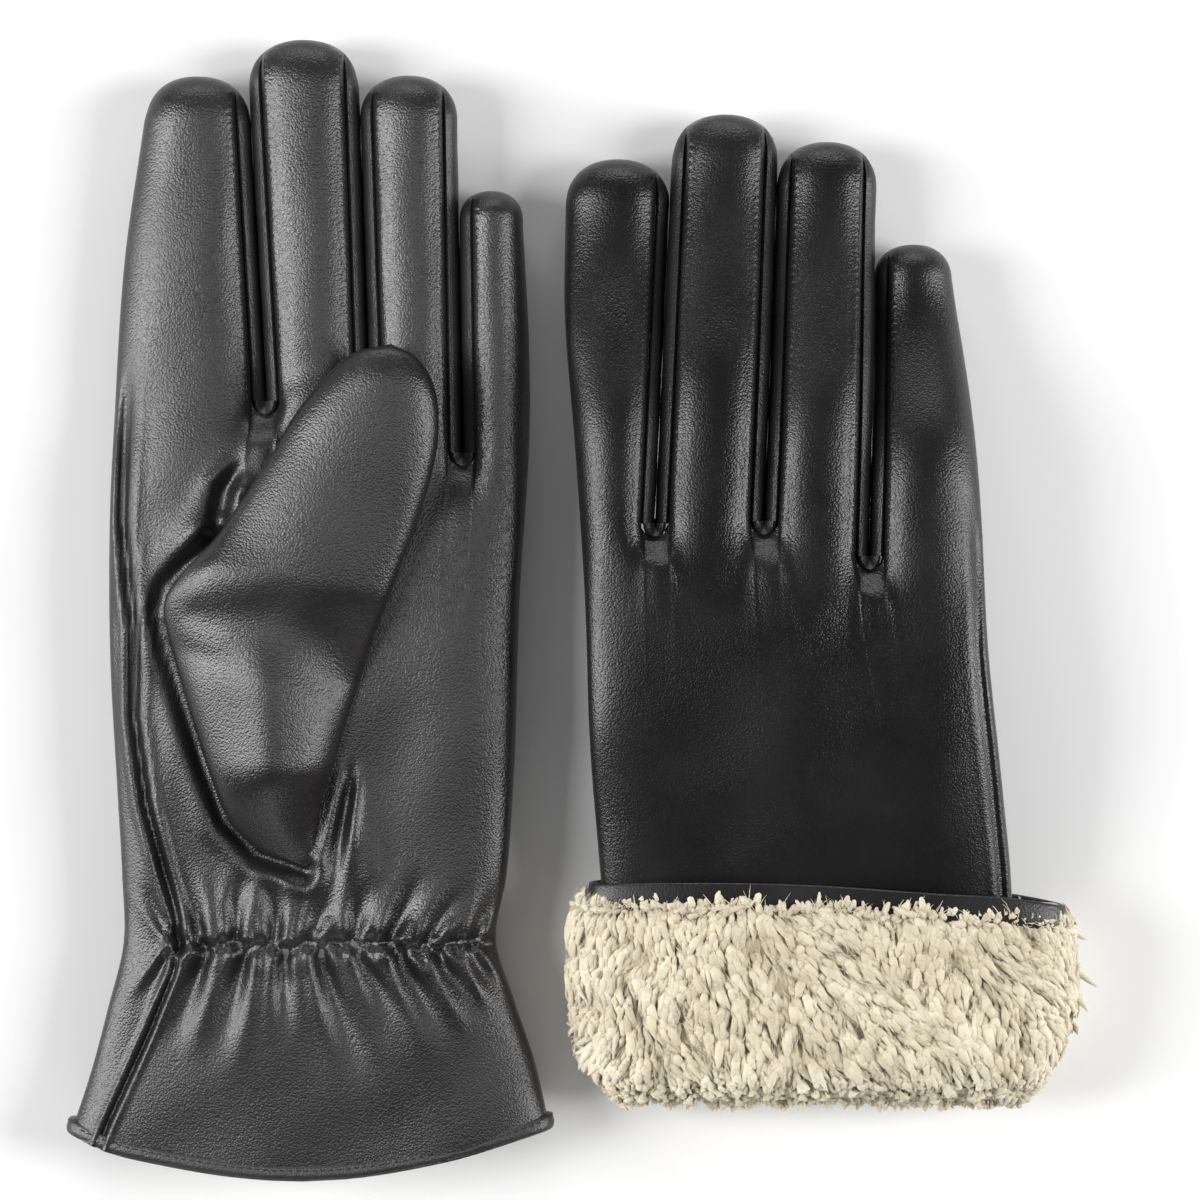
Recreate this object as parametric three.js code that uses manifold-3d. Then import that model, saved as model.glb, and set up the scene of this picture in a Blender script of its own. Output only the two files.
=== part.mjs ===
// A pair of lined leather dress gloves lying flat: the left glove palm up with its thumb folded
// across the palm, the right glove back up with its thumb beneath and its cuff turned back.
// Millimetres. +X runs across both gloves, +Y towards the fingertips, +Z up from the table.
import * as THREE from 'three';
import { mergeVertices } from 'three/addons/utils/BufferGeometryUtils.js';
import Module from 'manifold-3d';

const wasm = await Module();
wasm.setup();

// ---- driving dimensions ----
const GAP = 0.3;               // clearance between neighbouring pieces
const LEATHER = 1.0;           // thickness of the leather
const PILE = 2.4;              // thickness of the pressed fleece lining
const THUMB_PILE = 2.0;        // and in the thumb
const HAND_THICK = 20;         // closed hand, leather to leather
const FINGER_THICK = 18;
const THUMB_THICK = 14;
const THUMB_BASE_THICK = 10;   // where the thumb is sewn to the palm
const ELASTIC_THICK = 0.5;
const ELASTIC_WIDTH = 6;
const ELASTIC_SHARE = 0.66;     // share of the wrist's width that the elastic spans
const BINDING_WIDTH = 3.5;     // bound hem at the cuff's edge
const FINGER_SPACE = 0.8;      // air between two neighbouring fingers
const SEAM_INSET = 3.2;        // finger seam to the finger's widest point
const KNUCKLE_DEPTH = 1.3;     // knuckle axis below the palm-side surface
const FLEX_LIMIT = 75;         // degrees a fingertip folds towards the palm
const TIP_ROUND = 0.92;        // length of a fingertip's round, in half widths
const FLAT_SHARE = 1.04;       // above 1, the middle of a section is cut off flat
const HAND_POWER = 3.5;        // superellipse powers of the sections
const FINGER_POWER = 2.6;
const TIP_POWER = 2.2;
const CROTCH_DIP = 2.4;        // how far the seam between two fingers runs into the hand
const THUMB_HOLE = 0.42;       // the thumb hole's share of the thumb's base
const THUMB_HOLE_DEEP = 20;    // and its reach towards the thumb's tip

const LINING_INSET = LEATHER + ELASTIC_THICK + 2 * GAP;
const TURNED_ROOM = LEATHER + PILE + 2 * GAP;   // layers of the turned-back cuff

const MATERIALS = {
  leather: { color: 0x232226, roughness: 0.42, metalness: 0 },
  gusset: { color: 0x1c1b1f, roughness: 0.45, metalness: 0 },
  fleece: { color: 0xe6dcc6, roughness: 0.95, metalness: 0 },
  elastic: { color: 0x2e2c30, roughness: 0.8, metalness: 0 },
  binding: { color: 0x1f1e22, roughness: 0.5, metalness: 0 },
};

// ---- the two gloves ----
// Each glove's own frame has x = 0 midway across the hand and the row frame's y.
// Edges and valleys are [x, y] pairs; valleys run between two fingers from crotch to tip.
const FINGERS = ['index', 'middle', 'ring', 'little'];

const LEFT = {
  name: 'left',
  x: -60.1,
  up: 'palm',
  thumbSide: 1,                // the thumb lies above the palm
  hem: [[-56.4, -121], [-30, -129.3], [0, -131.9], [30, -127], [55.6, -120]],
  wrist: -77.4,
  indexEdge: [[-56.4, -132], [-43.7, -77.4], [-45, -44], [-47, 2], [-45.5, 48], [-39, 112]],
  littleEdge: [[55.6, -132], [43, -77.4], [47, -44], [48.5, 2], [50.6, 45], [49, 85]],
  valleys: [[[-10.7, 48], [-14.5, 115]], [[13.3, 45], [11, 114]], [[34.8, 36], [33.8, 100]]],
  outerCrotch: [46, 42],
  tips: [123.4, 131.9, 123.6, 96.8],
  knuckles: [72, 74, 70, 58],
  handRise: [[-140, 0], [140, 0]],
  thumb: {
    left: [[-30, 2], [-24, 12], [-16, 25], [-7.5, 40], [-0.5, 51]],
    right: [[0, -59.5], [6, -37], [14, -8], [23, 18], [28, 40]],
    tip: 14,
  },
};

const RIGHT = {
  name: 'right',
  x: 51.9,
  up: 'back',
  thumbSide: -1,               // the thumb lies below the palm
  hem: [[-40, -110], [50, -110]],
  wrist: -94,
  indexEdge: [[-40, -110], [-45.3, -62], [-48.5, -15], [-50.5, 20], [-53.5, 85]],
  littleEdge: [[50, -110], [49.4, -62], [46, -30], [43.4, 0], [42.5, 20], [36.5, 75]],
  valleys: [[[-32.8, 19.5], [-29.2, 94]], [[-7.8, 20], [-4.2, 100]], [[16.3, 12], [18.3, 80]]],
  outerCrotch: [18, 12],
  tips: [104.2, 114.6, 108.2, 84.4],
  knuckles: [44, 46, 42, 35],
  handRise: [[-61, TURNED_ROOM], [-45, THUMB_THICK + GAP], [140, THUMB_THICK + GAP]],
  thumb: {
    left: [[-31, 2], [-27, 9], [-21, 16], [-13.5, 24], [-8, 30]],
    right: [[-3, -43], [3, -29], [9, -13], [16, 4], [20, 20]],
    tip: 12,
  },
};

// the cuff of the right glove, turned back over its own wrist: y, leftmost and rightmost x
const TURNED_CUFF = [[-72, -51.8, 63.6], [-85, -52.5, 64.6], [-100, -50, 61.5],
  [-109, -46, 56.5], [-114, -41, 51]];
const TURNED_TOP = [[-48, -63.6], [62, -67.7]];    // the turned edge slants a little

// ---- small helpers ----
const mix = (a, b, t) => a + (b - a) * t;
const radians = (degrees) => degrees * Math.PI / 180;

function along(points, y) {
  // the x of a polyline of [x, y] points at height y, run on straight past its ends
  let i = 0;
  while (i < points.length - 2 && y > points[i + 1][1]) i += 1;
  const [x0, y0] = points[i];
  const [x1, y1] = points[i + 1];
  return mix(x0, x1, (y - y0) / (y1 - y0));
}

function across(points, x) {
  // the second value of a polyline at x, held level past its ends
  let i = 0;
  while (i < points.length - 2 && x > points[i + 1][0]) i += 1;
  const [x0, v0] = points[i];
  const [x1, v1] = points[i + 1];
  return mix(v0, v1, THREE.MathUtils.clamp((x - x0) / (x1 - x0), 0, 1));
}

function arch(share, power) {
  // height of a section, from 0 at its edges to 1 over its flat middle
  const rest = Math.max(0, 1 - Math.abs(share) ** power);
  return Math.min(1, FLAT_SHARE * rest ** (1 / power));
}

function geometryOf(points, faces) {
  const used = new Map();
  const position = [];
  const index = faces.flat().map((corner) => {
    if (!used.has(corner)) {
      used.set(corner, used.size);
      position.push(...points[corner]);
    }
    return used.get(corner);
  });
  let volume = 0;
  const at = (k) => new THREE.Vector3().fromArray(position, 3 * index[k]);
  for (let k = 0; k < index.length; k += 3) volume += at(k).dot(at(k + 1).cross(at(k + 2)));
  if (volume < 0) index.reverse();
  const geometry = new THREE.BufferGeometry();
  geometry.setAttribute('position', new THREE.Float32BufferAttribute(position, 3));
  geometry.setIndex(index);
  return geometry;
}

function wall({ rows, columns, outer, inner, filled = () => true, ring = false, ends = {} }) {
  // A wall between two grids of points. Cells that aren't filled are left open, and every
  // open border gets a rim; ends.first and ends.last close a ring's ends, outside and inside.
  const points = [];
  for (const face of [outer, inner]) {
    for (let i = 0; i < rows; i += 1) {
      for (let j = 0; j < columns; j += 1) points.push(face(i, j));
    }
  }
  const deep = rows * columns;
  const faces = [];
  const edges = new Set();
  const quad = (a, b, c, d) => faces.push([a, b, c], [a, c, d]);
  for (let i = 0; i < rows - 1; i += 1) {
    for (let j = 0; j < columns - (ring ? 0 : 1); j += 1) {
      if (!filled(i, j)) continue;
      const next = (j + 1) % columns;
      const cell = [i * columns + j, i * columns + next,
        (i + 1) * columns + next, (i + 1) * columns + j];
      quad(...cell);
      quad(...cell.map((corner) => corner + deep).reverse());
      cell.forEach((corner, k) => edges.add(`${corner},${cell[(k + 1) % 4]}`));
    }
  }
  for (const edge of edges) {
    const [a, b] = edge.split(',').map(Number);
    if (edges.has(`${b},${a}`)) continue;
    const end = a < columns && b < columns ? ends.first
      : a >= deep - columns && b >= deep - columns ? ends.last : undefined;
    if (end) {
      end.at ??= points.push(...end.points) - 2;
      faces.push([b, a, end.at], [a + deep, b + deep, end.at + 1]);
    } else {
      quad(b, a, a + deep, b + deep);
    }
  }
  return geometryOf(points, faces);
}

function solidOf(geometry) {
  const plain = geometry.clone();
  plain.deleteAttribute('normal');
  plain.deleteAttribute('uv');
  const merged = mergeVertices(plain);
  return new wasm.Manifold(new wasm.Mesh({
    numProp: 3,
    vertProperties: merged.attributes.position.array,
    triVerts: new Uint32Array(merged.index.array),
  }));
}

function cut(geometry, tool) {
  const mesh = solidOf(geometry).subtract(solidOf(tool)).getMesh();
  const result = new THREE.BufferGeometry();
  result.setAttribute('position', new THREE.Float32BufferAttribute(mesh.vertProperties, 3));
  result.setIndex(Array.from(mesh.triVerts));
  return result;
}

function piece(group, name, geometry, finish) {
  const mesh = new THREE.Mesh(geometry, new THREE.MeshStandardMaterial(MATERIALS[finish]));
  mesh.name = name;
  group.add(mesh);
}

// ---- sections ----
const lift = (glove, y) => across(glove.handRise, y);

function crotchY(glove, x) {
  const [indexSide, littleSide] = glove.outerCrotch;
  const low = glove.valleys.map(([root]) => root);
  const first = [low[0][0] - 20, indexSide];
  const last = [low[2][0] + 12, littleSide];
  return across([first, ...low, last], x);
}

function fingerSpan(glove, k, y) {
  // the outer sides of finger k at y
  const half = FINGER_SPACE / 2;
  const low = k === 0 ? along(glove.indexEdge, y) : along(glove.valleys[k - 1], y) + half;
  const high = k === 3 ? along(glove.littleEdge, y) : along(glove.valleys[k], y) - half;
  return [low, high];
}

function fingerSection(glove, k, y, inset) {
  // centre, half width and half height of finger k at y, moved in by inset
  const end = glove.tips[k];
  const [low, high] = fingerSpan(glove, k, y);
  const [lowEnd, highEnd] = fingerSpan(glove, k, end - 10);
  const roundStart = end - TIP_ROUND * (highEnd - lowEnd) / 2;
  const reach = THREE.MathUtils.clamp((y + inset - roundStart) / (end - roundStart), 0, 1);
  const close = Math.max(0.05, (1 - reach ** TIP_POWER) ** (1 / TIP_POWER));
  const knuckle = glove.knuckles[k];
  const rest = FINGER_THICK / 2;
  const rise = lift(glove, knuckle);
  const fall = THREE.MathUtils.clamp((y - knuckle) / (roundStart - knuckle), 0, 1);
  return {
    x: (low + high) / 2,
    z: rest + rise * (1 - fall),
    a: ((high - low) / 2 - inset) * close,
    b: (rest - inset) * close,
  };
}

function seamShare(glove, k, y) {
  const [low, high] = fingerSpan(glove, k, y);
  return 1 - SEAM_INSET / ((high - low) / 2);
}

// ---- the comb-shaped back and palm, from cuff to knuckles ----
const ACROSS = [4, 3, 3, 4];                        // cells across each finger
const HAND_ROWS = [0, 0.5, 1, 1.29, 1.44, 1.75, 1.9, 2];   // hem at 0, wrist at 1, crotches at 2
const FINGER_ROWS = 1;

function combColumns(full) {
  const columns = [];
  ACROSS.forEach((cells, k) => {
    if (k > 0) columns.push({ valley: k - 1, beside: columns.at(-1) });
    for (let c = 0; c <= cells; c += 1) {
      const low = k === 0 || full ? -1 : 0;
      const high = k === 3 || full ? 1 : 0;
      columns.push({ k, place: c / cells, low, high });
    }
  });
  return columns;
}

function combPoint(glove, side, column, row, inset, end) {
  // a point of the back or palm at a column and row, moved in by inset
  const edge = GAP / 2;
  if (column.valley !== undefined) {
    const root = glove.valleys[column.valley][0];
    const finger = combPoint(glove, side, column.beside, HAND_ROWS.length - 1, inset, end);
    const crotch = { x: root[0], y: root[1] - inset - CROTCH_DIP, z: finger[2] };
    return row >= HAND_ROWS.length - 1 ? [crotch.x, crotch.y, crotch.z]
      : handPoint(glove, side, crotch, row, inset);
  }
  const { k, place, low, high } = column;
  const rowsOfHand = HAND_ROWS.length - 1;
  const fingerRow = Math.max(0, row - rowsOfHand) / FINGER_ROWS;
  const knuckle = glove.knuckles[k] - end;
  const rootX = fingerSpan(glove, k, crotchY(glove, 0));
  const spot = mix(rootX[0], rootX[1], place);
  const y = mix(crotchY(glove, spot) - inset, knuckle, fingerRow);
  const section = fingerSection(glove, k, y, inset);
  const seam = seamShare(glove, k, y);
  const from = Math.acos(low || -(seam ** (FINGER_POWER / 2)));
  const to = Math.acos(high || seam ** (FINGER_POWER / 2));
  const angle = mix(from, to, place);
  const share = Math.sign(Math.cos(angle)) * Math.abs(Math.cos(angle)) ** (2 / FINGER_POWER);
  const x = section.x + section.a * share;
  const z = section.z + side * Math.max(edge, section.b * arch(share, FINGER_POWER));
  return row >= rowsOfHand ? [x, y, z] : handPoint(glove, side, { x, y, z }, row, inset);
}

function handPoint(glove, side, crotch, row, inset) {
  const station = HAND_ROWS[row];
  const lowEdge = along(glove.indexEdge, crotch.y) + inset;
  const highEdge = along(glove.littleEdge, crotch.y) - inset;
  const share = (crotch.x - lowEdge) / (highEdge - lowEdge);
  const hemX = mix(glove.hem[0][0], glove.hem.at(-1)[0], share);
  const hemY = across(glove.hem, hemX) + BINDING_WIDTH + GAP;
  const y = station <= 1 ? mix(hemY, glove.wrist, station)
    : mix(glove.wrist, crotch.y, station - 1);
  const [left, right] = [along(glove.indexEdge, y) + inset, along(glove.littleEdge, y) - inset];
  const x = mix(left, right, share);
  const half = HAND_THICK / 2 - inset;
  const height = Math.max(GAP / 2, half * arch(2 * share - 1, HAND_POWER));
  const flat = HAND_THICK / 2 + lift(glove, y) + side * height;
  const melt = THREE.MathUtils.smoothstep(2 - station, 0, 0.32);
  return [x, y, mix(crotch.z, flat, melt)];
}

function comb(glove, side, outside, inside, full, end) {
  const columns = combColumns(full);
  const rows = HAND_ROWS.length + FINGER_ROWS;
  const open = (j) => columns[j].valley !== undefined || columns[j + 1].valley !== undefined;
  return wall({
    rows,
    columns: columns.length,
    outer: (i, j) => combPoint(glove, side, columns[j], i, outside, end),
    inner: (i, j) => combPoint(glove, side, columns[j], i, inside, end),
    filled: (i, j) => i < HAND_ROWS.length - 1 || !open(j),
  });
}

// ---- fingers beyond the knuckle ----
const FINGER_STEPS = [0, 0.4, 0.75, 0.88, 0.96, 1];

function fingerY(glove, k, start, step, inset) {
  return mix(glove.knuckles[k] + start, glove.tips[k] - inset, step);
}

function fingerPanel(glove, k, side, start) {
  const cells = ACROSS[k];
  const point = (inset) => (i, j) => {
    const y = fingerY(glove, k, start, FINGER_STEPS[i], inset);
    const section = fingerSection(glove, k, y, inset);
    const seam = seamShare(glove, k, glove.knuckles[k]) ** (FINGER_POWER / 2);
    const from = Math.acos(k === 0 ? -1 : -seam);
    const to = Math.acos(k === 3 ? 1 : seam);
    const angle = mix(from, to, j / cells);
    const share = Math.sign(Math.cos(angle)) * Math.abs(Math.cos(angle)) ** (2 / FINGER_POWER);
    const height = Math.max(GAP / 2, section.b * arch(share, FINGER_POWER));
    return [section.x + section.a * share, y, section.z + side * height];
  };
  return wall({
    rows: FINGER_STEPS.length, columns: cells + 1, outer: point(0), inner: point(LEATHER),
  });
}

function fingerLining(glove, k) {
  const columns = 10;
  const inside = LINING_INSET + PILE;
  const point = (inset) => (i, j) => {
    const y = fingerY(glove, k, GAP / 2, FINGER_STEPS[i], inset);
    const section = fingerSection(glove, k, y, inset);
    const angle = 2 * Math.PI * j / columns;
    const share = Math.sign(Math.cos(angle)) * Math.abs(Math.cos(angle)) ** (2 / FINGER_POWER);
    const height = section.b * arch(share, FINGER_POWER) * Math.sign(Math.round(Math.sin(angle) * 1e6));
    return [section.x + section.a * share, y, section.z + height];
  };
  const tip = (inset) => {
    const section = fingerSection(glove, k, glove.tips[k] - inset, inset);
    return [section.x, glove.tips[k] - inset, section.z];
  };
  return wall({
    rows: FINGER_STEPS.length,
    columns,
    outer: point(LINING_INSET),
    inner: point(inside),
    ring: true,
    ends: { last: { points: [tip(LINING_INSET), tip(inside)] } },
  });
}

// ---- fourchettes, the gussets between the fingers ----
const GUSSET_HEIGHTS = [-1, -0.5, 0, 0.5, 1];

function gussetPoint(glove, k, hand, y, level, inset) {
  // a point on the side wall of finger k: hand is 1 on its little-finger side, level runs -1 to 1
  const section = fingerSection(glove, k, y, inset);
  const seam = arch(seamShare(glove, k, glove.knuckles[k]), FINGER_POWER);
  const top = Math.max(GAP, section.b * seam - 1.5 * GAP);
  const bulge = (1 - (top * Math.abs(level) / (FLAT_SHARE * section.b)) ** FINGER_POWER);
  return [section.x + hand * section.a * bulge ** (1 / FINGER_POWER), y, section.z + level * top];
}

function fingerGusset(glove, k, hand) {
  const end = glove.tips[k] - 2.5 * LEATHER;
  const point = (inset) => (i, j) => {
    const y = mix(glove.knuckles[k] + GAP / 2, end, FINGER_STEPS[i]);
    return gussetPoint(glove, k, hand, y, GUSSET_HEIGHTS[j], inset);
  };
  return wall({
    rows: FINGER_STEPS.length,
    columns: GUSSET_HEIGHTS.length,
    outer: point(0),
    inner: point(LEATHER),
  });
}

function crotchGusset(glove, valley) {
  // one strip from the knuckle of a finger, round the crotch, to the knuckle of the next
  const [rootX, rootY] = glove.valleys[valley][0];
  const stops = [
    [valley, 1, glove.knuckles[valley] - GAP / 2], [valley, 1, rootY + 2], null,
    [valley + 1, -1, rootY + 2], [valley + 1, -1, glove.knuckles[valley + 1] - GAP / 2],
  ];
  const point = (inset) => (i, j) => {
    const level = GUSSET_HEIGHTS[j];
    if (stops[i]) return gussetPoint(glove, ...stops[i], level, inset);
    const beside = gussetPoint(glove, valley, 1, rootY, level, inset);
    return [rootX, rootY - CROTCH_DIP + 0.5 + 1.3 * (1 - level ** 2) - inset, beside[2]];
  };
  return wall({
    rows: stops.length,
    columns: GUSSET_HEIGHTS.length,
    outer: point(0),
    inner: point(LEATHER),
  });
}

// ---- rings round the hand: hem, elastic, turned-back cuff ----
function ringPoint(span, z, half, power, turn) {
  const angle = 2 * Math.PI * turn;
  const share = Math.sign(Math.cos(angle)) * Math.abs(Math.cos(angle)) ** (2 / power);
  const height = half * arch(share, power) * Math.sign(Math.round(Math.sin(angle) * 1e6));
  return [mix(span[0], span[1], (share + 1) / 2), z + height];
}

function band(rows, columns, place, outside, inside) {
  const point = (inset) => (i, j) => {
    const { y, span, z, half } = place(i, inset);
    const [x, height] = ringPoint(span, z, half - inset, HAND_POWER, j / columns);
    return [x, typeof y === 'function' ? y(x) : y, height];
  };
  return wall({ rows, columns, outer: point(outside), inner: point(inside), ring: true });
}

function hem(glove) {
  const levels = [0, BINDING_WIDTH];
  const [left, right] = [glove.hem[0][0], glove.hem.at(-1)[0]];
  return band(levels.length, 24, (i, inset) => ({
    y: (x) => across(glove.hem, x) + levels[i],
    span: [left + inset, right - inset],
    z: HAND_THICK / 2 + lift(glove, glove.wrist),
    half: HAND_THICK / 2,
  }), 0, LINING_INSET + PILE);
}

function elastic(glove, side) {
  // a flat strip across the palm side of the wrist, between leather and lining; it runs from
  // column to column of the palm, so it keeps its gap whatever the hand's thickness
  const wristRow = HAND_ROWS.indexOf(1);
  const widest = ELASTIC_SHARE * along(glove.littleEdge, glove.wrist);
  const columns = combColumns(false).filter((column) => (
    Math.abs(combPoint(glove, side, column, wristRow, 0, 0)[0]) < widest));
  const point = (inset) => (i, j) => {
    const [x, , z] = combPoint(glove, side, columns[j], wristRow, inset, 0);
    return [x, glove.wrist + (i - 0.5) * ELASTIC_WIDTH, z];
  };
  const outside = LEATHER + GAP;
  return wall({
    rows: 2,
    columns: columns.length,
    outer: point(outside),
    inner: point(outside + ELASTIC_THICK),
  });
}

function turnedLayer(outside, inside, fromTop) {
  const half = HAND_THICK / 2 + TURNED_ROOM;
  return band(TURNED_CUFF.length, 24, (i, inset) => {
    const [y, left, right] = TURNED_CUFF[i];
    return {
      y: i === 0 ? (x) => across(TURNED_TOP, x) - BINDING_WIDTH - fromTop : y + outside / 2,
      span: [left + inset, right - inset],
      z: HAND_THICK / 2 + TURNED_ROOM,
      half,
    };
  }, outside, inside);
}

function turnedEdge() {
  const levels = [0, BINDING_WIDTH];
  return band(levels.length, 24, (i, inset) => ({
    y: (x) => across(TURNED_TOP, x) - levels[i],
    span: [TURNED_CUFF[0][1] + 1 + inset, TURNED_CUFF[0][2] - 1 - inset],
    z: HAND_THICK / 2 + TURNED_ROOM,
    half: HAND_THICK / 2 + TURNED_ROOM,
  }), 0.5, PILE + GAP + LEATHER);
}

// ---- the thumb ----
function thumbWall(glove, outside, inside) {
  const { left, right, tip } = glove.thumb;
  const columns = 12;
  const rows = left.length + 3;
  const middle = (i) => left[i].map((value, axis) => (value + right[i][axis]) / 2);
  const lastMiddle = middle(left.length - 1);
  const before = middle(left.length - 2);
  const heading = new THREE.Vector2(lastMiddle[0] - before[0], lastMiddle[1] - before[1]);
  heading.normalize();
  const floor = glove.thumbSide > 0 ? HAND_THICK + GAP : THUMB_THICK;
  const row = (i, inset) => {
    const rest = Math.min(i, left.length - 1);
    const ahead = Math.max(0, i - rest) / 3;
    const close = Math.max(0.05, (1 - ahead ** TIP_POWER) ** (1 / TIP_POWER));
    const thick = mix(THUMB_BASE_THICK, THUMB_THICK, Math.min(1, i / 2));
    const centre = middle(rest).map((value, axis) => {
      const step = axis === 0 ? heading.x : heading.y;
      return value + step * (ahead * (tip - inset) + (i === 0 ? inset : 0));
    });
    return { rest, close, thick, centre };
  };
  const point = (inset) => (i, j) => {
    const { rest, close, thick, centre } = row(i, inset);
    const angle = 2 * Math.PI * j / columns;
    const share = Math.sign(Math.cos(angle)) * Math.abs(Math.cos(angle)) ** (2 / FINGER_POWER);
    const side = new THREE.Vector2(right[rest][0] - left[rest][0], right[rest][1] - left[rest][1]);
    const half = side.length() / 2 - inset;
    side.normalize().multiplyScalar(half * close * share);
    const height = (thick / 2 - inset) * close * arch(share, FINGER_POWER)
      * Math.sign(Math.round(Math.sin(angle) * 1e6));
    const z = floor + glove.thumbSide * thick / 2 + height;
    return [centre[0] + side.x, centre[1] + side.y, z];
  };
  const cap = (i, inset) => {
    const { thick, centre } = row(i, inset);
    return [centre[0], centre[1], floor + glove.thumbSide * thick / 2];
  };
  const ends = {};
  for (const [name, i] of [['first', 0], ['last', rows - 1]]) {
    ends[name] = { points: [cap(i, outside), cap(i, inside)] };
  }
  return wall({ rows, columns, outer: point(outside), inner: point(inside), ring: true, ends });
}

function thumbHole(glove) {
  // the hole in the palm that the thumb opens into: a slanted oval prism
  const { left, right } = glove.thumb;
  const base = new THREE.Vector2(right[0][0] - left[0][0], right[0][1] - left[0][1]);
  const half = THUMB_HOLE * base.length() / 2;
  const oval = new THREE.CylinderGeometry(1, 1, 2 * (LINING_INSET + 1.6 * PILE), 16);
  oval.rotateX(Math.PI / 2);
  oval.scale(half, THUMB_HOLE_DEEP / 2, 1);
  oval.rotateZ(base.angle());
  const inward = new THREE.Vector2(-base.y, base.x).normalize();
  const reach = THUMB_HOLE_DEEP / 2 + LINING_INSET + THUMB_PILE;
  oval.translate(
    (left[0][0] + right[0][0]) / 2 + inward.x * reach,
    (left[0][1] + right[0][1]) / 2 + inward.y * reach,
    glove.thumbSide > 0 ? HAND_THICK : THUMB_THICK,
  );
  return oval;
}

// ---- assembly ----
const pair = new THREE.Group();
for (const glove of [LEFT, RIGHT]) {
  const group = new THREE.Group();
  group.position.x = glove.x;
  pair.add(group);
  const add = (name, geometry, finish) => piece(group, `${glove.name}_${name}`, geometry, finish);
  const palmSide = glove.up === 'palm' ? 1 : -1;
  const palmEnd = KNUCKLE_DEPTH * Math.tan(radians(FLEX_LIMIT / 2)) + GAP / 2;
  const sides = [['palm', palmSide, palmEnd], ['back', -palmSide, GAP / 2]];
  for (const [panel, side, end] of sides) {
    let leather = comb(glove, side, 0, LEATHER, false, end);
    let lining = comb(glove, side, LINING_INSET, LINING_INSET + PILE, true, GAP / 2);
    if (panel === 'palm') {
      leather = cut(leather, thumbHole(glove));
      lining = cut(lining, thumbHole(glove));
    }
    add(`${panel}_panel`, leather, 'leather');
    add(`${panel}_lining`, lining, 'fleece');
    FINGERS.forEach((finger, k) => {
      add(`${finger}_${panel}`, fingerPanel(glove, k, side, end), 'leather');
    });
  }
  FINGERS.forEach((finger, k) => {
    add(`${finger}_lining`, fingerLining(glove, k), 'fleece');
    if (k > 0) add(`${finger}_gusset_index_side`, fingerGusset(glove, k, -1), 'gusset');
    if (k < 3) add(`${finger}_gusset_little_side`, fingerGusset(glove, k, 1), 'gusset');
    if (k > 0) add(`crotch_gusset_${k}`, crotchGusset(glove, k - 1), 'gusset');
  });
  add('wrist_elastic', elastic(glove, palmSide), 'elastic');
  add('thumb_panel', cut(thumbWall(glove, 0, LEATHER), thumbHole(glove)), 'leather');
  const thumbLining = thumbWall(glove, LINING_INSET, LINING_INSET + THUMB_PILE);
  add('thumb_lining', cut(thumbLining, thumbHole(glove)), 'fleece');
  if (glove === LEFT) {
    add('hem_binding', hem(glove), 'binding');
  } else {
    add('turned_cuff_leather', turnedLayer(PILE + GAP, PILE + GAP + LEATHER, GAP), 'leather');
    add('turned_cuff_fleece', turnedLayer(0, PILE, GAP), 'fleece');
    add('hem_binding', turnedEdge(), 'binding');
  }
}

export default pair;
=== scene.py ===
# %% [markdown]
# # A pair of lined leather gloves
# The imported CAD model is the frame: it says where every piece lies and which body carries it.
# Everything below is built around it, in the same place and at the same size, in metres.

# %% Load the frame
import math

import bpy
import numpy as np
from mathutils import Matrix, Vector


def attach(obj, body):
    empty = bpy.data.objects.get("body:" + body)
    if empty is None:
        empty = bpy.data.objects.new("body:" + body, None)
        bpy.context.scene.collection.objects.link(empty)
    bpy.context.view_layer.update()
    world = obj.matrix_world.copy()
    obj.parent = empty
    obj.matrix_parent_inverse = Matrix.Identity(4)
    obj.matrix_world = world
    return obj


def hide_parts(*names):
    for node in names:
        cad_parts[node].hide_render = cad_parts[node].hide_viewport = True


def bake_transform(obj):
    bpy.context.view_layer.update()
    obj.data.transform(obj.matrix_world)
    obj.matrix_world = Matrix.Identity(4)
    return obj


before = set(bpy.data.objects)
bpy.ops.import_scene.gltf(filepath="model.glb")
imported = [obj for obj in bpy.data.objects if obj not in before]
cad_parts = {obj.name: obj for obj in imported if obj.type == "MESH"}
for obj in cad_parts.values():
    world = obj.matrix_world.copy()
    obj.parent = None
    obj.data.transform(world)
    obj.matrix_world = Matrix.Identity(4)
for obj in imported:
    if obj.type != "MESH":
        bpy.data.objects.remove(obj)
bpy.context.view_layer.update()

MM = 0.001

# %% [markdown]
# ## The cut of the gloves
# A glove's panels follow a few lines: the two edges of the hand, the three valleys between the
# fingers, and the height of each fingertip and knuckle. The lines are written once here, in
# millimetres, with x measured from the middle of each hand, and every skin below reads them.

# %% Driving sizes
LEATHER = 1.0
PILE = 2.4
HAND_THICK = 20.0
FINGER_THICK = 18.0
THUMB_THICK = 14.0
SEAM_INSET = 3.2
FINGER_SPACE = 0.08
CROTCH_DIP = 2.4
BINDING = 3.5
TURNED = LEATHER + PILE + 0.6
HAND_POWER = 3.8
FINGER_POWER = 2.1
TIP_POWER = 2.3
SIDE_LEATHER = 0.8
THUMB_LEATHER = 0.9
OFF_TABLE = 0.05
FINGERS = ["index", "middle", "ring", "little"]

print("hand", HAND_THICK, "mm thick, fingers", FINGER_THICK, "mm, turned cuff adds", TURNED)

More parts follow.
